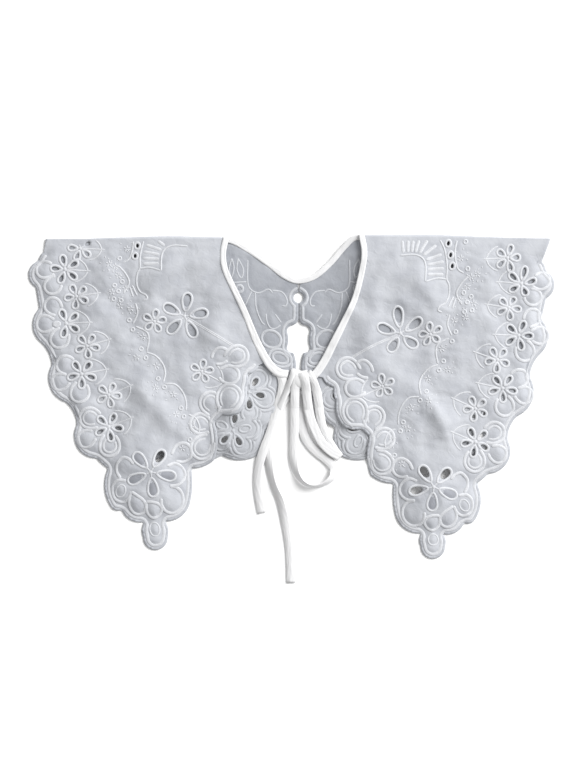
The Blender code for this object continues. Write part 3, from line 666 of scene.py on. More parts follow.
def back_pattern(shoulder):
    """Every line that shows on the wrong side of a back."""
    lines = []
    drops = flower_eyelets(shoulder, BACK_FLOWERS, closed=False)
    for drop in drops:
        lines += ringed(drop)
    for drop in flower_eyelets(shoulder, BACK_FLOWERS, closed=True):
        middle, heading, ring, length, width = drop
        middle = at(middle, heading, np.array([ring]), np.array([0.0]))[0]
        lines.append((oval(*middle, 0.66 * length, 0.66 * width, heading), RING_LINE, True))
    for rows in WRONG_LINES:
        lines.append((smooth_line(rows, THREAD_STEP), LEAF_LINE, False))
    for row in WRONG_RINGS:
        lines.append((oval(*row), BACK_LINE, True))
    foci = np.array([flower[1:3] for flower in BACK_FLOWERS])
    for index, (x, y, radius) in enumerate(BACK_PETALS):
        focus = foci[np.argmin(np.hypot(foci[:, 0] - x, foci[:, 1] - y))]
        others = BACK_PETALS[:index] + BACK_PETALS[index + 1:]
        for rim in (0.0, BACK_PETAL_RIM):
            runs = outside_petals(petal_line(x, y, radius + rim, focus), others, rim - 0.4, drops)
            lines += [(run, BACK_LINE, False) for run in runs]
    placed = [(on_back(shoulder, line), kind, closed) for line, kind, closed in lines]
    edge_line = softened(offset_line(shoulder["back_edge"], -EDGE_INSET * shoulder["side"]), 6)
    placed.append((edge_line, BACK_LINE, False))
    return placed


for shoulder in SHOULDERS.values():
    shoulder["front_pattern"] = front_pattern(shoulder)
    shoulder["back_pattern"] = back_pattern(shoulder)


# The cloth of the two halves
# Fine white cotton lawn, folded at the shoulder so that its right side shows on the front and its
# wrong side in the neck. The sewing pulls it in along every line, and it puffs up in between.
WALL = 0.4             # thickness of the lawn
CLOTH_MIDDLE = 0.5     # height of the middle of the lawn where it lies on the table
LAYER_REST = 1.3       # how much higher a front lies that rests on a back
ROLL_OUTER = 0.65      # radius of the shoulder fold at its outer end
ROLL_NECK = 3.6        # and at the neck
OUTER_X = 215.0
NECK_X = 60.0
FOLD_LIFT_FOOT = 10.0  # the lift that the fold gives the fronts dies out at this Y
FRONT_DROP = (-58.0, -82.0)  # the tips come down to the table between these Y
CLOTH_GRID = 1.7       # side of the triangles in the fronts' cloth
BACK_GRID = 2.2        # and in the backs'
GRID_ROW = 0.87        # from one row of them to the next, as a share of their side
GRID_CLEAR = 0.6       # how far their corners keep from a cut, as a share of it too
FOLD_ROWS = 12
FOLD_COLUMNS = 80
BINDING_WIDTH = 5.0
BINDING_STEP = 2.5
SEAM = 0.3
UNDER_RING = 0.7       # how far the painted shade inside a lined eyelet runs on under its ring
SHADED_FINISH = 2      # place of that painted-shade finish among a half's three
QUILT = 0.55           # how far the lawn puffs up between the sewn lines
QUILT_START = 0.8      # from the middle of a line
QUILT_REACH = 2.1
PUFF = 0.4             # how much further it stands up inside a petal

# Soft ridges in the fronts, left half: x, y, heading in degrees, half length, half width, height
FRONT_RIDGES = [
    (-120.0, 85.0, 68.0, 60.0, 15.0, 3.0),
    (-168.0, 60.0, 100.0, 55.0, 14.0, 2.2),
    (-95.0, 15.0, 40.0, 55.0, 13.0, 3.2),
    (-128.0, -8.0, 62.0, 50.0, 13.0, 2.6),
    (-62.0, 62.0, 62.0, 50.0, 12.0, 2.6),
    (-92.0, 112.0, 24.0, 34.0, 8.0, 1.6),
    (-140.0, 40.0, 128.0, 30.0, 8.0, 1.4),
]
# The right front lies flatter
SHOULDERS["left"]["relief"] = 1.0
SHOULDERS["right"]["relief"] = 0.75
# The folds that only one front has, where it lies
SHOULDERS["left"]["folds"] = [
    (-111.0, -14.0, -45.0, 42.0, 10.0, 4.4),
    (-61.0, 47.0, -38.0, 34.0, 9.0, 2.4),
    (-158.0, 108.0, 88.0, 34.0, 12.0, 2.4),
]
SHOULDERS["right"]["folds"] = [
    (108.0, 6.0, 48.0, 62.0, 9.0, 2.2),
    (152.0, 62.0, 62.0, 40.0, 10.0, 1.6),
    (70.0, 70.0, 75.0, 40.0, 9.0, 1.4),
    (126.0, -18.0, -62.0, 26.0, 6.0, 1.8),
]
# The tips stand off the table in a low arch, and so do the backs beside the bow
TIP_RIDGES = [(-121.0, -66.0, 82.0, 44.0, 23.0, 5.8)]
BACK_RIDGES = [
    (-43.0, -12.0, 80.0, 44.0, 20.0, 6.8),
    (-18.5, -4.0, 74.0, 34.0, 8.0, 2.2),
    (-59.0, -39.0, 46.0, 16.0, 12.0, 3.0),
]
SHOULDERS["left"]["back_relief"] = 1.0
SHOULDERS["right"]["back_relief"] = 0.45
NECK_SLOPE = 4.0       # how much the backs rise towards the neck end of the shoulder fold
EDGE_DROOP = 12.0      # a front's edge sinks to the table over this width
EDGE_LOW = 0.4         # down to this height
EDGE_KEPT = 0.08       # where it keeps this share of its height
HEM_DROOP = 9.0        # and a back's hem over this width
HEM_KEPT = 0.1
BACK_CRUMPLE = 0.6     # how crumpled a back is, beside a front
# Where the two layers touch, so that little shade falls into the eyelets: x, y, reach
TOUCHING = [(-92.0, 67.5, 26.0), (-117.5, 64.0, 15.0), (-77.0, 21.5, 15.0), (-184.5, 85.1, 12.0),
            (-174.0, 44.0, 12.0), (-157.0, -0.5, 11.0), (-180.2, 126.0, 12.0)]
LAYERS_TOUCH = 0.85    # from middle to middle of the lawn there
# Where a front's edge climbs onto the back beside the bow, in the left half
OVER_BACK_X = (-84.0, -70.0)
OVER_BACK_Y = (-60.0, -52.0)
HEM_FLAT_Y = (-34.0, -20.0)  # a back's edge sinks below these Y alone, at the hem
NECK_RISE = (22.0, 60.0, 120.0)  # from the centre back to the neck slope's start, peak and end
NECK_RISE_Y = (55.0, 120.0)


def roll_radius(x):
    """Radius of the shoulder fold."""
    return ROLL_OUTER + (ROLL_NECK - ROLL_OUTER) * smooth(-np.abs(x), -OUTER_X, -NECK_X)


def crumple(x, y):
    """Fine soft creases of washed lawn, from 0 up."""
    broad = np.sin(x / 7.1 + 1.7 * np.sin(y / 12.3)) * np.sin(y / 8.9 + 1.3 * np.sin(x / 10.7 + 2.0))
    fine = np.sin(x / 3.1 + y / 4.7 + 1.9 * np.sin(y / 6.3)) * np.sin(y / 3.7 - x / 5.6)
    return 0.75 * (1.0 + broad) + 0.15 * (1.0 + fine)


def ridge_height(shoulder, place, rows, x, y):
    """Height of soft ridges at some points."""
    ridges = np.zeros_like(x)
    hand = 1 if place is as_drawn else -shoulder["side"]
    for ridge_x, ridge_y, heading, half_length, half_width, height in rows:
        top = place(shoulder, [(ridge_x, ridge_y)])[0]
        along_x = math.cos(math.radians(heading)) * hand
        along_y = math.sin(math.radians(heading))
        along = (x - top[0]) * along_x + (y - top[1]) * along_y
        across = (x - top[0]) * along_y - (y - top[1]) * along_x
        ridges += height * np.exp(-(along / half_length) ** 2 * 2.0 - (across / half_width) ** 2)
    return ridges


def back_ridges(shoulder, x, y):
    """Height of the arch in a back beside the bow, which lifts the front on it too."""
    return ridge_height(shoulder, on_back, BACK_RIDGES, x, y) * shoulder["back_relief"]


def away_from(shoulder, place_x, place_y, reach, x, y):
    """Square of the distance of points from a place on a front, as a share of its reach."""
    middle = on_front(shoulder, [(place_x, place_y)])[0]
    return ((x - middle[0]) ** 2 + (y - middle[1]) ** 2) / reach ** 2


def from_edge(edge, x, y):
    """Distance of some points from a scalloped edge."""
    gap_x = np.subtract.outer(x, edge[:, 0])
    gap_y = np.subtract.outer(y, edge[:, 1])
    return np.sqrt(np.min(gap_x ** 2 + gap_y ** 2, axis=1))


def under_front(shoulder, x, y):
    """Height that a front's edge sinks to: onto the back beside the bow, elsewhere to the table."""
    as_left = x if shoulder["side"] < 0 else 2.0 * BACK_MIDDLE - x
    over_back = smooth(as_left, *OVER_BACK_X) * smooth(y, *OVER_BACK_Y)
    on_top = LAYER_REST + BACK_CRUMPLE * crumple(x, y) + back_ridges(shoulder, x, y)
    return EDGE_LOW + over_back * on_top


def front_height(shoulder, x, y):
    """Height of the middle of a front's cloth along its sewn lines."""
    below_fold = fold_y(shoulder, x) - y
    rise = 2.0 * roll_radius(x) - LAYER_REST
    above = LAYER_REST + rise * smooth(y, FOLD_LIFT_FOOT, fold_y(shoulder, x))
    folds = ridge_height(shoulder, on_front, FRONT_RIDGES, x, y) * shoulder["relief"]
    folds += ridge_height(shoulder, as_drawn, shoulder["folds"], x, y)
    above += folds * smooth(below_fold, 2.0, 30.0)
    above += back_ridges(shoulder, x, y)
    height = CLOTH_MIDDLE + above * (1.0 - smooth(-y, -FRONT_DROP[0], -FRONT_DROP[1]))
    height += ridge_height(shoulder, on_front, TIP_RIDGES, x, y)
    height += crumple(x, y) * smooth(below_fold, 1.0, 20.0)
    sunk = from_edge(shoulder["edge"], x, y)
    below = under_front(shoulder, x, y)
    kept = EDGE_KEPT + (1.0 - EDGE_KEPT) * smooth(sunk, 0.0, EDGE_DROOP)
    height = below + (height - below) * kept
    for petal in PETALS + TIP_PUFFS:
        height += PUFF * np.clip(1.0 - away_from(shoulder, *petal, x, y), 0.0, 1.0)
    return height


def back_height(shoulder, x, y):
    """Height of the middle of a back's cloth, which touches the front under some flowers."""
    height = BACK_CRUMPLE * crumple(x, y) * smooth(fold_y(shoulder, x) - y, 1.0, 20.0)
    height += back_ridges(shoulder, x, y)
    hem = smooth(from_edge(shoulder["back_edge"], x, y), 0.0, HEM_DROOP)
    hem = np.maximum(hem, smooth(y, *HEM_FLAT_Y))
    height = CLOTH_MIDDLE + height * (HEM_KEPT + (1.0 - HEM_KEPT) * hem)
    from_middle = np.abs(x - BACK_MIDDLE)
    start, peak, end = NECK_RISE
    near_neck = smooth(from_middle, start, peak) * (1.0 - smooth(from_middle, peak, end))
    height += NECK_SLOPE * near_neck * smooth(y, *NECK_RISE_Y)
    room = np.maximum(front_height(shoulder, x, y) - LAYERS_TOUCH - height, 0.0)
    share = np.zeros_like(x)
    for flower in TOUCHING:
        share = np.maximum(share, np.exp(-away_from(shoulder, *flower, x, y) ** 2))
    return height + room * share


def finder_of(points):
    """A finder of the nearest of some points."""
    finder = KDTree(len(points))
    for index, (x, y) in enumerate(points):
        finder.insert((x, y, 0.0), index)
    finder.balance()
    return finder


def quilting(finder, points):
    """How far the lawn puffs up at some points, by their distance from the nearest sewn line."""
    away = np.array([finder.find((x, y, 0.0))[2] for x, y in points])
    away = np.maximum(away - QUILT_START, 0.0)
    return QUILT * (1.0 - np.exp(-(away / QUILT_REACH) ** 2))


def cut_panel(outline, holes, grid):
    """Points and triangles of a flat panel with its eyelets cut through."""
    loops = []
    for loop in [outline] + holes:
        ahead = np.roll(loop, -1, axis=0)
        area = np.sum(loop[:, 0] * ahead[:, 1] - ahead[:, 0] * loop[:, 1])
        loops.append(loop if area > 0 else loop[::-1])
    cut = np.vstack(loops)
    near = finder_of(cut)
    points = [Vector(point) for point in cut]
    low, high = outline.min(axis=0), outline.max(axis=0)
    row_gap = grid * GRID_ROW
    for row in range(int((high[1] - low[1]) / row_gap) + 1):
        for column in range(int((high[0] - low[0]) / grid) + 1):
            point = Vector((low[0] + grid * (column + 0.5 * (row % 2)), low[1] + row_gap * row))
            if near.find(point.to_3d())[2] > grid * GRID_CLEAR:
                points.append(point)
    faces = []
    start = 0
    for loop in loops:
        faces.append(list(range(start, start + len(loop))))
        start += len(loop)
    corners, _edges, triangles, _points, _sides, owners = delaunay_2d_cdt(points, [], faces, 1, 1e-4)
    kept = [list(triangle) for triangle, owner in zip(triangles, owners) if owner == [0]]
    return np.array([tuple(corner) for corner in corners]), kept


def neck_edges(shoulder):
    """Cloth edges under the binding: on the front from the bow up, on the back from the fold in."""
    side = shoulder["side"]
    front_rows = LEFT_FRONT_NECK if side < 0 else RIGHT_FRONT_NECK
    reach = BINDING_WIDTH / 2 - 1.0
    front = offset_line(smooth_line(front_rows + [shoulder["neck"]], BINDING_STEP), -side * reach)
    back_rows = [SHOULDERS["left"]["neck"]] + BACK_NECK + [SHOULDERS["right"]["neck"]]
    back = offset_line(smooth_line(back_rows, BINDING_STEP), -reach)
    if side > 0:
        back = back[::-1]
    neck_x = shoulder["neck"][0] + side * (reach + SEAM)
    front = front[front[:, 1] < fold_y(shoulder, front[:, 0]) - 2.0]
    back = back[(np.abs(back[:, 0]) < abs(neck_x) - 1.0) & ((back[:, 0] - BACK_MIDDLE) * side > 0.6)]
    return front, back, neck_x


def add_node(tree, kind, feeds, values=None, **settings):
    """A shader node: the sockets that feed its inputs, its inputs' values and its own settings."""
    node = tree.nodes.new("ShaderNode" + kind)
    for name, value in settings.items():
        setattr(node, name, value)
    for name, value in (values or {}).items():
        node.inputs[name].default_value = value
    for name, socket in feeds.items():
        tree.links.new(socket, node.inputs[name])
    return node


def add_bump(tree, height, strength, depth, under=None):
    """The normal of a bump with its depth in millimetres, laid over another bump's normal."""
    feeds = {"Height": height}
    if under:
        feeds["Normal"] = under
    bump = add_node(tree, "Bump", feeds, {"Strength": strength, "Distance": depth * MM})
    return bump.outputs["Normal"]


def add_tint(tree, pattern, low, shade, high, colour):
    """A colour that goes from a shade at a low value of a pattern to full at a high one."""
    ramp = add_node(tree, "ValToRGB", {"Fac": pattern})
    ramp.color_ramp.elements[0].position = low
    ramp.color_ramp.elements[0].color = shade
    ramp.color_ramp.elements[1].position = high
    ramp.color_ramp.elements[1].color = colour
    return ramp.outputs["Color"]


def lawn_finish(name, colour, shade, mottle, hem=None):
    """Cotton lawn: a fine plain weave, small crinkles and a slightly uneven white. Given a hem
    colour, it turns to that paler one towards the hem: painted shade, darkest in the neck, that fades
    out."""
    finish, tree, shader = plain_finish(name, colour, 0.85, 0.12, 0.45)
    place = add_node(tree, "TexCoord", {})
    in_mm = add_node(tree, "Mapping", {"Vector": place.outputs["Object"]}, {"Scale": (1 / MM,) * 3})
    here = {"Vector": in_mm.outputs["Vector"]}
    threads = {}
    for index, direction in enumerate(("X", "Y")):
        thread = add_node(tree, "TexWave", here, {"Scale": 0.62, "Distortion": 0.6},
                          bands_direction=direction)
        threads[index] = thread.outputs["Fac"]
    weave = add_node(tree, "Math", threads, operation="MULTIPLY")
    crinkle = add_node(tree, "TexNoise", here, {"Scale": 0.16, "Detail": 3.0, "Distortion": 0.8})
    normal = add_bump(tree, weave.outputs["Value"], 0.35, 0.08)
    normal = add_bump(tree, crinkle.outputs["Fac"], 0.5, 0.9, normal)
    tree.links.new(normal, shader.inputs["Normal"])
    cloud = add_node(tree, "TexNoise", here, {"Scale": mottle, "Detail": 4.0})
    tint = add_tint(tree, cloud.outputs["Fac"], 0.30, shade, 0.62, colour)
    # Painted shade on the wrong side: its colour turns paler from the neck towards the hem
    if hem:
        upward = add_node(tree, "SeparateXYZ", here).outputs["Y"]
        towards_hem = add_node(tree, "MapRange", {"Value": upward},
                               {"From Min": PAINTED_SHADE_FADE_Y[0], "From Max": PAINTED_SHADE_FADE_Y[1]})
        # In the Mix node, input 0 is the share, inputs 6 and 7 and output 2 are the colours
        mix = add_node(tree, "Mix", {0: towards_hem.outputs["Result"], 6: tint}, {7: hem},
                       data_type="RGBA")
        tint = mix.outputs[2]
    tree.links.new(tint, shader.inputs["Base Color"])
    return finish


def new_piece(name, data, finishes):
    """A piece of the collar from a mesh, riding with the model."""
    for finish in finishes:
        data.materials.append(finish)
    data.shade_smooth()
    piece = bpy.data.objects.new(name, data)
    bpy.context.scene.collection.objects.link(piece)
    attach(piece, "root")
    return piece


def lined_eyelets(shoulder, points):
    """Which points of a front lie inside its lined eyelets or just under their rings, and get painted
    shade.
    """
    in_painted_shade = np.zeros(len(points), bool)
    for drop in flower_eyelets(shoulder, FRONT_FLOWERS, closed=True):
        if drop[2] > LINED_RING:
            hole = on_front(shoulder, eyelet_hole(drop))
            middle = hole.mean(axis=0)
            half_length = np.hypot(*(hole[0] - middle))
            ahead_x, ahead_y = (hole[0] - middle) / half_length
            away_x, away_y = (points - middle).T
            along = away_x * ahead_x + away_y * ahead_y
            across = away_y * ahead_x - away_x * ahead_y
            in_painted_shade |= ((along / (half_length + UNDER_RING)) ** 2
                      + (across / (drop[4] / 2 + UNDER_RING)) ** 2) < 1.0
    return in_painted_shade


def open_holes(shoulder, flowers, place):
    """Outlines of the open eyelets of flowers, where they lie."""
    drops = flower_eyelets(shoulder, flowers, closed=False)
    holes = [place(shoulder, eyelet_hole(drop)) for drop in drops]
    return [hole for hole in holes if hole[:, 1].max() < shoulder["outer"][1] - FOLD_CLEAR]


def cloth_half(name, shoulder, finishes):
    """One half's cloth: front panel, shoulder fold and back panel in one sheet."""
    front_neck, back_neck, neck_x = neck_edges(shoulder)
    fold_x = np.linspace(shoulder["outer"][0], neck_x, FOLD_COLUMNS + 1)
    fold = np.stack([fold_x, fold_y(shoulder, fold_x)], axis=1)

    front_neck = front_neck[front_neck[:, 1] > shoulder["edge"][-1, 1] + 1.0]
    front = np.vstack([shoulder["edge"], front_neck, fold[::-1]])
    back = np.vstack([shoulder["back_edge"], back_neck[::-1], fold[::-1]])
    sheet = bmesh.new()
    for outline, flowers, place, grid, height, pattern, up in (
            (front, FRONT_FLOWERS, on_front, CLOTH_GRID, front_height, "front_pattern", True),
            (back, BACK_FLOWERS, on_back, BACK_GRID, back_height, "back_pattern", False)):
        points, faces = cut_panel(outline, open_holes(shoulder, flowers, place), grid)
        heights = height(shoulder, *points.T)
        sewn = np.vstack([line for line, _kind, _closed in shoulder[pattern]])
        puffs = quilting(finder_of(sewn), points)
        heights += puffs * smooth(fold_y(shoulder, points[:, 0]) - points[:, 1], 0.0, 6.0)
        verts = [sheet.verts.new((p[0], p[1], z)) for p, z in zip(points, heights)]
        middles = np.array([points[list(face)].mean(axis=0) for face in faces])
        in_painted_shade = lined_eyelets(shoulder, middles) & up
        for face, gets_painted_shade in zip(faces, in_painted_shade):
            corners = [verts[index] for index in face]
            panel_face = sheet.faces.new(corners if up else corners[::-1])
            # Painted shade on the lawn inside the lined eyelets
            panel_face.material_index = SHADED_FINISH if gets_painted_shade else 0
    foot = back_height(shoulder, *fold.T)
    crest = front_height(shoulder, *fold.T)
    rows = []
    for row in range(FOLD_ROWS + 1):
        angle = math.pi * (row / FOLD_ROWS - 0.5)
        ys = fold[:, 1] + (crest - foot) / 2 * math.cos(angle)
        zs = (crest + foot) / 2 + (crest - foot) / 2 * math.sin(angle)
        rows.append([sheet.verts.new(point) for point in zip(fold[:, 0], ys, zs)])
    for low, high in zip(rows, rows[1:]):
        for index in range(FOLD_COLUMNS):
            corners = (low[index], low[index + 1], high[index + 1], high[index])
            sheet.faces.new(corners if shoulder["side"] > 0 else corners[::-1])
    bmesh.ops.remove_doubles(sheet, verts=sheet.verts, dist=0.02)
    loose = [vert for vert in sheet.verts if not vert.link_faces]
    bmesh.ops.delete(sheet, geom=loose, context="VERTS")
    bmesh.ops.recalc_face_normals(sheet, faces=sheet.faces)
    highest = max(sheet.faces, key=lambda face: abs(face.normal.z) + face.calc_center_median().z)
    if highest.normal.z < 0:
        bmesh.ops.reverse_faces(sheet, faces=sheet.faces)
    for vert in sheet.verts:
        vert.co = in_frame(*vert.co)
    data = bpy.data.meshes.new(name)
    sheet.to_mesh(data)
    sheet.free()
    piece = new_piece(name, data, finishes)
    wall = piece.modifiers.new("wall", "SOLIDIFY")
    wall.thickness = WALL * MM
    wall.offset = 0.0
    wall.material_offset = 1
    return piece


LAWN_WHITE = (0.44, 0.453, 0.482, 1.0)
LAWN_SHADE = (0.385, 0.398, 0.43, 1.0)
# Painted shade: the wrong side is coloured greyer than the right side, darkest in the neck and
# # paler towards the hem, between these Y of the frame
LAWN_WRONG_PAINTED_SHADE = (0.325, 0.338, 0.365, 1.0)
LAWN_WRONG_PAINTED_SHADE_MOTTLE = (0.29, 0.303, 0.333, 1.0)
LAWN_WRONG_HEM = (0.43, 0.443, 0.47, 1.0)
PAINTED_SHADE_FADE_Y = (30.0, -5.0)
# Painted shade: the lawn inside the lined eyelets is coloured darker, as a layer in shade would look
# through them
LAWN_SHADED = (0.275, 0.285, 0.315, 1.0)
LAWN_SHADED_SHADE = (0.25, 0.26, 0.288, 1.0)
lawn = lawn_finish("cotton_lawn", LAWN_WHITE, LAWN_SHADE, 0.07)
lawn_wrong_painted_shade = lawn_finish("cotton_lawn_wrong_side_painted_shade", LAWN_WRONG_PAINTED_SHADE, LAWN_WRONG_PAINTED_SHADE_MOTTLE, 0.09, LAWN_WRONG_HEM)
lawn_shaded = lawn_finish("cotton_lawn_shaded", LAWN_SHADED, LAWN_SHADED_SHADE, 0.05)
for name, shoulder in SHOULDERS.items():
    half = cloth_half(name + "_half_cloth", shoulder, [lawn, lawn_wrong_painted_shade, lawn_shaded])
    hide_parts(name + "_half")


# The embroidery and the rolled edge
# White satin stitch in soft cotton thread, one raised line for each line of the pattern, and a knot
# of thread in each flower. The cut edge is rolled and whipped over with fine thread.
SATIN_WHITE = (0.545, 0.556, 0.582, 1.0)
# Painted shade: a greyer copy of the satin, for the wrong side of the backs and the rolled edges
SATIN_PAINTED_SHADE = (0.455, 0.468, 0.495, 1.0)
SATIN_ROUND = [(-0.50, -0.30), (-0.43, 0.45), (-0.24, 0.92), (0.0, 1.0), (0.24, 0.92), (0.43, 0.45),
               (0.50, -0.30)]
ROLL_LINE = (2.4, 0.15)
ROLL_INSET = 1.0
KNOT_RADIUS = 1.9
KNOT_HEIGHT = 0.55
KNOT_SIDES = 10
LINE_END = 0.45        # how full a line's two ends are, beside the rest of it


def new_stitching():
    """Empty lists for the corners, faces and stitch runs of sewn lines."""
    return {"verts": [], "faces": [], "uvs": []}


def sew_line(work, points, line, closed=False):
    """A raised line of satin stitch along points that lie on the cloth."""
    width, height = line
    points = np.asarray(points, float)
    if closed:
        travel = np.roll(points, -1, axis=0) - np.roll(points, 1, axis=0)
        points = np.vstack([points, points[:1]])
        travel = np.vstack([travel, travel[:1]])
    else:
        travel = np.gradient(points, axis=0)
    side = leftward(travel)
    run = travelled(points)
    fullness = np.ones(len(points))
    if not closed:
        fullness[[0, -1]] = LINE_END
    first = len(work["verts"])
    for point, left, far, full in zip(points, side, run, fullness):
        for across, up in SATIN_ROUND:
            out = across * width * full
            work["verts"].append((point[0] - left[0] * out, point[1] - left[1] * out,
                                  point[2] + up * height * full))
            work["uvs"].append((far, across * width))
    count = len(SATIN_ROUND)
    for row in range(len(points) - 1):
        for column in range(count - 1):
            a = first + row * count + column
            work["faces"].append((a, a + 1, a + count + 1, a + count))


def sew_knot(work, middle):
    """A small round knot of thread."""
    first = len(work["verts"])
    work["verts"].append((middle[0], middle[1], middle[2] + KNOT_HEIGHT))
    work["uvs"].append((0.0, 0.0))
    for ring, up in ((0.6, 0.75), (1.0, -0.2)):
        for index in range(KNOT_SIDES):
            turn = 2 * math.pi * index / KNOT_SIDES
            out_x = KNOT_RADIUS * ring * math.cos(turn)
            out_y = KNOT_RADIUS * ring * math.sin(turn)
            work["verts"].append((middle[0] + out_x, middle[1] + out_y, middle[2] + up * KNOT_HEIGHT))
            work["uvs"].append((out_x, out_y))
    inner = first + 1
    outer = inner + KNOT_SIDES
    for index in range(KNOT_SIDES):
        after = (index + 1) % KNOT_SIDES
        work["faces"].append((first, inner + index, inner + after))
        work["faces"].append((inner + index, outer + index, outer + after, inner + after))


def on_cloth(shoulder, height, points):
    """Points raised to the top of the cloth."""
    heights = height(shoulder, *points.T) + WALL / 2
    return np.column_stack([points, heights])


def stitched_mesh(name, work):
    """The mesh of sewn lines, with the run along each line as its map."""
    data = bpy.data.meshes.new(name)
    data.from_pydata([in_frame(x, y, max(z, 0.0)) for x, y, z in work["verts"]], [], work["faces"])
    corner_verts = np.empty(len(data.loops), np.int32)
    data.loops.foreach_get("vertex_index", corner_verts)
    layer = data.uv_layers.new(name="stitch_run")
    layer.data.foreach_set("uv", np.array(work["uvs"], np.float32)[corner_verts].ravel())
    return data


def satin_finish(name, colour):
    """Satin stitch: threads that lie side by side across each line."""
    finish, tree, shader = plain_finish(name, colour, 0.55, 0.2, 0.4)
    run = {"Vector": add_node(tree, "UVMap", {}, uv_map="stitch_run").outputs["UV"]}
    thread = add_node(tree, "TexWave", run, {"Scale": 0.75, "Distortion": 0.8, "Detail": 2.0},
                      bands_direction="X")
    tree.links.new(add_bump(tree, thread.outputs["Fac"], 0.5, 0.12), shader.inputs["Normal"])
    uneven = add_node(tree, "TexNoise", run, {"Scale": 0.35})
    shade = [channel * 0.90 for channel in colour[:3]] + [1.0]
    tint = add_tint(tree, uneven.outputs["Fac"], 0.3, shade, 0.6, colour)
    tree.links.new(tint, shader.inputs["Base Color"])
    return finish


satin = satin_finish("satin_stitch", SATIN_WHITE)
satin_painted_shade = satin_finish("satin_stitch_painted_shade", SATIN_PAINTED_SHADE)
for name, shoulder in SHOULDERS.items():
    for panel, height, pattern, flowers, place, finish in (
            ("front", front_height, "front_pattern", FRONT_FLOWERS, on_front, satin),
            ("back", back_height, "back_pattern", BACK_FLOWERS, on_back, satin_painted_shade)):
        work = new_stitching()
        for line, kind, closed in shoulder[pattern]:
            sew_line(work, on_cloth(shoulder, height, line), kind, closed)
        for flower in flowers:
            middle = place(shoulder, [flower[1:3]])
            sew_knot(work, on_cloth(shoulder, height, middle)[0])
        data = stitched_mesh(f"{name}_{panel}_embroidery", work)
        new_piece(f"{name}_{panel}_embroidery", data, [finish])
    rolls = new_stitching()
    for edge, height in ((shoulder["edge"], front_height), (shoulder["back_edge"], back_height)):
        line = softened(offset_line(edge, -ROLL_INSET * shoulder["side"]), 3)
        sew_line(rolls, on_cloth(shoulder, height, line), ROLL_LINE)
    data = stitched_mesh(name + "_rolled_edges", rolls)
    # The rolled edges take the satin with painted shade
    new_piece(name + "_rolled_edges", data, [satin_painted_shade])


# The neck binding
# A bias strip of the same cotton, folded round the raw neck edge and sewn down along its inner
# edge. It runs from the bow over both shoulders and round the back neck in one length.
BINDING_THICK = 1.6
BINDING_SPREAD = 0.4   # how much wider the strip lies open towards the bow
BINDING_LOW = 2.6      # lowest middle height of the binding on the fronts
BINDING_ON_FRONT = 0.8    # from the middle of the cloth up to the middle of the binding
BINDING_ON_BACK = 0.7
BINDING_ON_FOLD = 0.3
BIAS_WHITE = (0.68, 0.68, 0.685, 1.0)
BINDING_ROUND = [
    (-0.50, -0.15), (-0.46, -0.42), (-0.30, -0.50), (0.30, -0.50), (0.46, -0.42), (0.50, -0.15),
    (0.50, 0.10), (0.45, 0.40), (0.34, 0.50), (0.18, 0.38), (0.0, 0.46), (-0.25, 0.50),
    (-0.45, 0.40), (-0.50, 0.10),
]


def sweep(points, across, profile, widths=None):
    """Rings of corners of a strip along points, none of them under the table.

    The profile's first number runs across the strip, its second out of its face. Widths scale the
    strip along its length.
    """
    points = np.asarray(points, float)
    travel = np.gradient(points, axis=0)
    out = unit(np.cross(unit(np.asarray(across, float)), travel))
    side = unit(np.cross(travel, out))
    run = travelled(points)
    widths = np.ones(len(points)) if widths is None else widths
    work = new_stitching()
    for point, left, up, far, wide in zip(points, side, out, run, widths):
        for a, b in profile:
            work["verts"].append(tuple(point + left * a * wide + up * b))
            work["uvs"].append((far, a))
    count = len(profile)
    for row in range(len(points) - 1):
        for column in range(count):
            after = (column + 1) % count
            start = row * count
            work["faces"].append((start + column, start + after, start + count + after,
                                  start + count + column))
    last = (len(points) - 1) * count
    work["faces"].append(tuple(range(count))[::-1])
    work["faces"].append(tuple(range(last, last + count)))
    return work


def strip_mesh(name, work):
    """The mesh of a strip, with its faces turned outwards."""
    data = stitched_mesh(name, work)
    solid = bmesh.new()
    solid.from_mesh(data)
    bmesh.ops.recalc_face_normals(solid, faces=solid.faces)
    solid.to_mesh(data)
    solid.free()
    return data


def bias_finish(name, colour):
    """Bias cut cotton: the weave runs at 45 degrees to the strip, with soft lengthwise pulls."""
    finish, tree, shader = plain_finish(name, colour, 0.8, 0.15)
    run = {"Vector": add_node(tree, "UVMap", {}, uv_map="stitch_run").outputs["UV"]}
    weave = add_node(tree, "TexWave", run, {"Scale": 0.6, "Distortion": 0.8},
                     bands_direction="DIAGONAL")
    stretch = add_node(tree, "Mapping", run, {"Scale": (0.12, 0.55, 1.0)})
    pull = add_node(tree, "TexNoise", {"Vector": stretch.outputs["Vector"]},
                    {"Scale": 1.0, "Detail": 3.0})
    normal = add_bump(tree, weave.outputs["Fac"], 0.3, 0.08)
    normal = add_bump(tree, pull.outputs["Fac"], 0.6, 0.9, normal)
    tree.links.new(normal, shader.inputs["Normal"])
    return finish


def front_stretch(shoulder, rows):
    """The binding's middle line on a front, from the bow up to the shoulder, and its inward side."""
    line = smooth_line(rows + [shoulder["neck"]], BINDING_STEP)
    heights = np.maximum(BINDING_LOW, front_height(shoulder, *line.T) + BINDING_ON_FRONT)
    travel = np.gradient(line, axis=0)
    inward = np.stack([travel[:, 1], -travel[:, 0], travel[:, 0] * 0], axis=1) * -shoulder["side"]
    return np.column_stack([line, heights])[:-1], inward[:-1]


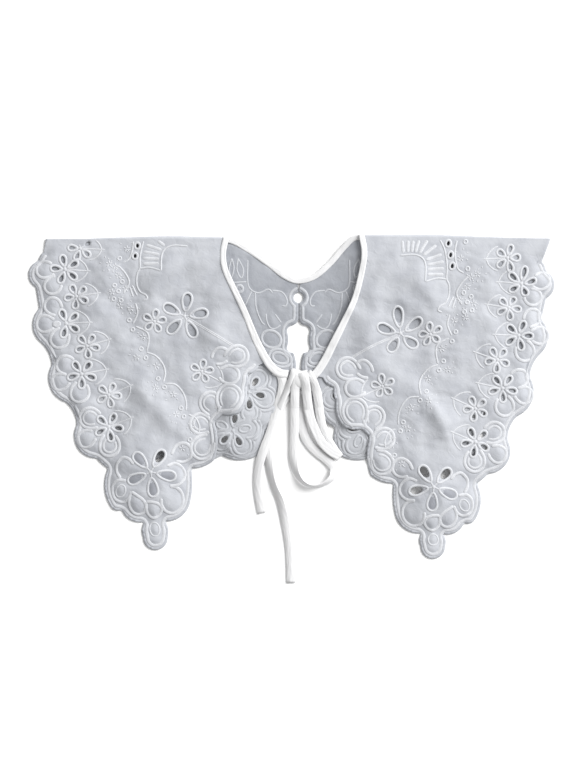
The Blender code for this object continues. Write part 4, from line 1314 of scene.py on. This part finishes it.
def shoulder_turn(shoulder):
    """The binding's middle line round the shoulder fold."""
    x, y = shoulder["neck"]
    top = CLOTH_MIDDLE + 2 * roll_radius(x) + BINDING_ON_FOLD
    low = CLOTH_MIDDLE + NECK_SLOPE + BINDING_ON_FOLD
    angles = math.pi * (0.5 - np.arange(FOLD_ROWS + 1) / FOLD_ROWS)
    turn = np.stack([x + angles * 0, y + (top - low) / 2 * np.cos(angles),
                     (top + low) / 2 + (top - low) / 2 * np.sin(angles)], axis=1)
    return turn, np.tile([-shoulder["side"], 0.0, 0.0], (len(turn), 1))


def back_stretch():
    """The binding's middle line round the back neck, from the left shoulder to the right one."""
    left, right = SHOULDERS["left"], SHOULDERS["right"]
    line = smooth_line([left["neck"]] + BACK_NECK + [right["neck"]], BINDING_STEP)
    travel = np.gradient(line, axis=0)
    inward = np.stack([-travel[:, 1], travel[:, 0], travel[:, 0] * 0], axis=1)
    heights = np.where(line[:, 0] < BACK_MIDDLE, back_height(left, *line.T),
                       back_height(right, *line.T))
    heights = np.maximum(heights + BINDING_ON_BACK, BINDING_THICK / 2)
    return np.column_stack([line, heights])[1:-1], inward[1:-1]


def backwards(stretch):
    """A stretch of the binding from its end to its start."""
    points, across = stretch
    return points[::-1], across[::-1]


bias = bias_finish("bias_cotton", BIAS_WHITE)
left, right = SHOULDERS["left"], SHOULDERS["right"]
stretches = [front_stretch(left, LEFT_FRONT_NECK), shoulder_turn(left), back_stretch(),
             backwards(shoulder_turn(right)), backwards(front_stretch(right, RIGHT_FRONT_NECK))]
neck_points = np.vstack([points for points, _across in stretches])
neck_across = np.vstack([across for _points, across in stretches])
neck_widths = 1.0 + BINDING_SPREAD * (1.0 - smooth(neck_points[:, 1], 20.0, 90.0))
profile = [(a * BINDING_WIDTH, b * BINDING_THICK) for a, b in BINDING_ROUND]
data = strip_mesh("neck_binding_strip", sweep(neck_points, neck_across, profile, neck_widths))
binding = new_piece("neck_binding_strip", data, [bias])
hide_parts("neck_binding")


# The ties
# The two ends of the same bias strip, folded in half and sewn along the open edge. Each makes one
# loop of the bow and one free tail; all four come out from under the knot.
TAPE_WIDTH = 7.6
TAPE_THICK = 1.0
TAPE_STEP = 2.0
UPRIGHT = 0.35         # a tape that runs less flat than this keeps the side that it had
TAPE_ROUND = [
    (-0.50, -0.20), (-0.47, -0.50), (0.44, -0.42), (0.50, -0.12), (0.50, 0.12), (0.44, 0.46),
    (0.36, 0.40), (0.30, 0.50), (0.0, 0.44), (-0.30, 0.50), (-0.47, 0.50), (-0.50, 0.20),
]
# x, y, height, tilt of the tape out of the flat in degrees
LEFT_TAIL = [
    (-2.2, 8.6, 4.4, 0), (-7.3, -0.5, 3.8, 0), (-13.5, -15.6, 3.2, 0), (-18.0, -31.0, 3.1, 0),
    (-23.9, -46.3, 3.1, 0), (-28.3, -62.0, 1.9, 10), (-29.3, -77.0, 1.2, 8), (-27.7, -89.9, 1.0, 4),
    (-25.4, -101.0, 0.8, 0),
]
RIGHT_TAIL = [
    (-2.6, 0.8, 1.8, 0), (-6.5, -4.0, 1.8, 0), (-12.6, -16.0, 1.8, 0), (-17.0, -31.0, 1.8, 0),
    (-19.6, -46.3, 1.9, 0), (-18.9, -61.7, 2.2, 30), (-15.4, -77.0, 2.9, 42), (-9.6, -91.0, 2.2, 25),
    (-4.6, -111.4, 1.2, 5), (-1.3, -132.9, 0.9, 0), (-0.4, -161.0, 0.8, 0),
]
LEFT_LOOP = [
    (3.2, 5.0, 3.2, 0), (2.8, -7.8, 3.2, 0), (2.6, -23.0, 2.9, 0), (2.2, -38.6, 2.0, 0),
    (1.7, -54.0, 2.2, 15), (4.0, -66.0, 3.4, 45), (10.0, -74.5, 4.2, 66), (18.4, -78.0, 4.3, 72),
    (27.5, -76.0, 4.3, 66), (35.0, -70.0, 3.9, 40), (36.4, -62.5, 2.4, 0), (30.0, -55.0, 1.6, 0),
    (19.6, -46.6, 1.4, 0), (12.0, -36.5, 1.3, 0), (8.2, -23.0, 1.3, 0), (5.8, -7.8, 1.3, 0),
    (5.0, 5.0, 1.3, 0),
]
RIGHT_LOOP = [
    (17.8, 9.0, 3.1, 0), (21.6, 4.0, 3.1, 0), (23.4, -7.8, 2.9, 0), (25.6, -23.0, 2.6, 0),
    (29.6, -34.6, 2.3, 0), (35.6, -45.2, 2.1, 0), (40.3, -51.6, 2.1, 0), (41.9, -53.8, 2.8, 0),
    (40.3, -52.0, 3.6, 0), (34.2, -48.4, 3.7, 0), (26.6, -41.0, 3.9, 0), (20.4, -30.0, 4.1, 0),
    (16.0, -18.0, 4.2, 0), (13.8, -6.0, 4.3, 0), (12.9, 4.6, 4.4, 0),
]


def tape_route(rows):
    """Centre line of a tape and the direction across it at every point."""
    line = smooth_line(rows, TAPE_STEP)
    travel = np.gradient(line[:, :3], axis=0)
    points, across = [], []
    last = None
    for row, step in zip(line, travel):
        step = step / np.linalg.norm(step)
        side = np.array([-step[1], step[0], 0.0])
        upright = np.linalg.norm(side) < UPRIGHT
        if last is not None and (upright or side @ last < 0):
            side = last if upright else -side
        side = side / np.linalg.norm(side)
        last = side
        up = np.cross(step, side)
        tilt = math.radians(row[3])
        lowest = TAPE_WIDTH / 2 * abs(math.sin(tilt)) + TAPE_THICK / 2
        points.append((row[0], row[1], max(row[2], lowest)))
        across.append(side * math.cos(tilt) + up * math.sin(tilt))
    return np.array(points), np.array(across)


profile = [(a * TAPE_WIDTH, b * TAPE_THICK) for a, b in TAPE_ROUND]
for node, rows, far_end in (
        ("left_tie_tail", LEFT_TAIL, "bare"), ("left_tie_loop", LEFT_LOOP, "object"),
        ("right_tie_tail", RIGHT_TAIL, "bare"), ("right_tie_loop", RIGHT_LOOP, "object")):
    route, across = tape_route(rows)
    data = strip_mesh(node + "_tape", sweep(route, across, profile))
    tape = new_piece(node + "_tape", data, [bias])
    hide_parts(node)


# The knot
# The middle of the bow: the tapes are folded over their crossing, side by side, and hold a small
# tight core. Each row is a strip: its width and its rows x, y, height, tilt.
KNOT_CENTRE = (8.0, 13.5, 3.9)
KNOT_HALF = (8.6, 7.4, 2.9)
SORT_ALONG = Vector((1.0, 0.37, 0.11))
KNOT_STRIPS = [
    (8.0, [(-15.0, 21.6, 3.2, 0), (-9.4, 18.0, 3.9, 0), (-7.4, 10.0, 4.2, 0), (-8.6, 1.0, 4.4, 0),
           (-11.4, -7.0, 3.9, 0), (-14.2, -16.0, 2.6, 0)]),
    (5.0, [(2.6, 22.4, 2.2, 0), (1.8, 20.8, 5.6, 20), (-1.2, 13.0, 6.8, 38), (-4.4, 4.4, 6.0, 30),
           (-8.2, -4.0, 5.0, 14), (-11.6, -12.0, 3.2, 0)]),
    (7.6, [(5.6, 21.8, 1.8, 0), (5.2, 20.2, 5.0, 0), (3.8, 12.0, 5.6, -6), (3.1, 4.0, 4.6, -4),
           (2.8, -5.0, 4.0, 0), (2.7, -16.0, 2.4, 0)]),
    (7.8, [(9.4, 21.0, 2.2, 0), (10.0, 18.6, 6.4, 0), (11.6, 11.6, 7.0, 10), (12.8, 4.0, 5.8, 6),
           (13.8, -6.0, 5.1, 0), (15.4, -16.0, 3.6, 0)]),
    (7.4, [(13.6, 19.8, 2.0, 0), (15.6, 17.4, 5.0, 0), (19.0, 11.4, 5.2, 10), (21.2, 4.5, 4.5, 5),
           (22.8, -4.0, 3.8, 0), (24.4, -14.0, 2.2, 0)]),
]

knot_mesh = bmesh.new()
for width, rows in KNOT_STRIPS:
    route, across = tape_route(rows)
    profile = [(a * width, b * TAPE_THICK) for a, b in TAPE_ROUND]
    strip = strip_mesh("knot_strip", sweep(route, across, profile))
    knot_mesh.from_mesh(strip)
    bpy.data.meshes.remove(strip)
core = bmesh.ops.create_uvsphere(knot_mesh, u_segments=32, v_segments=20, radius=1.0)
for vert in core["verts"]:
    x, y, z = [centre + part * half for centre, part, half in zip(KNOT_CENTRE, vert.co, KNOT_HALF)]
    vert.co = in_frame(x, y, z)
# The sphere's corners and faces come in an order that changes from run to run
knot_mesh.verts.sort(key=lambda vert: vert.co.dot(SORT_ALONG))
knot_mesh.faces.sort(key=lambda face: face.calc_center_median().dot(SORT_ALONG))
data = bpy.data.meshes.new("knot_wrap")
knot_mesh.to_mesh(data)
knot_mesh.free()
knot = new_piece("knot_wrap", data, [bias])
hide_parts("tie_knot")
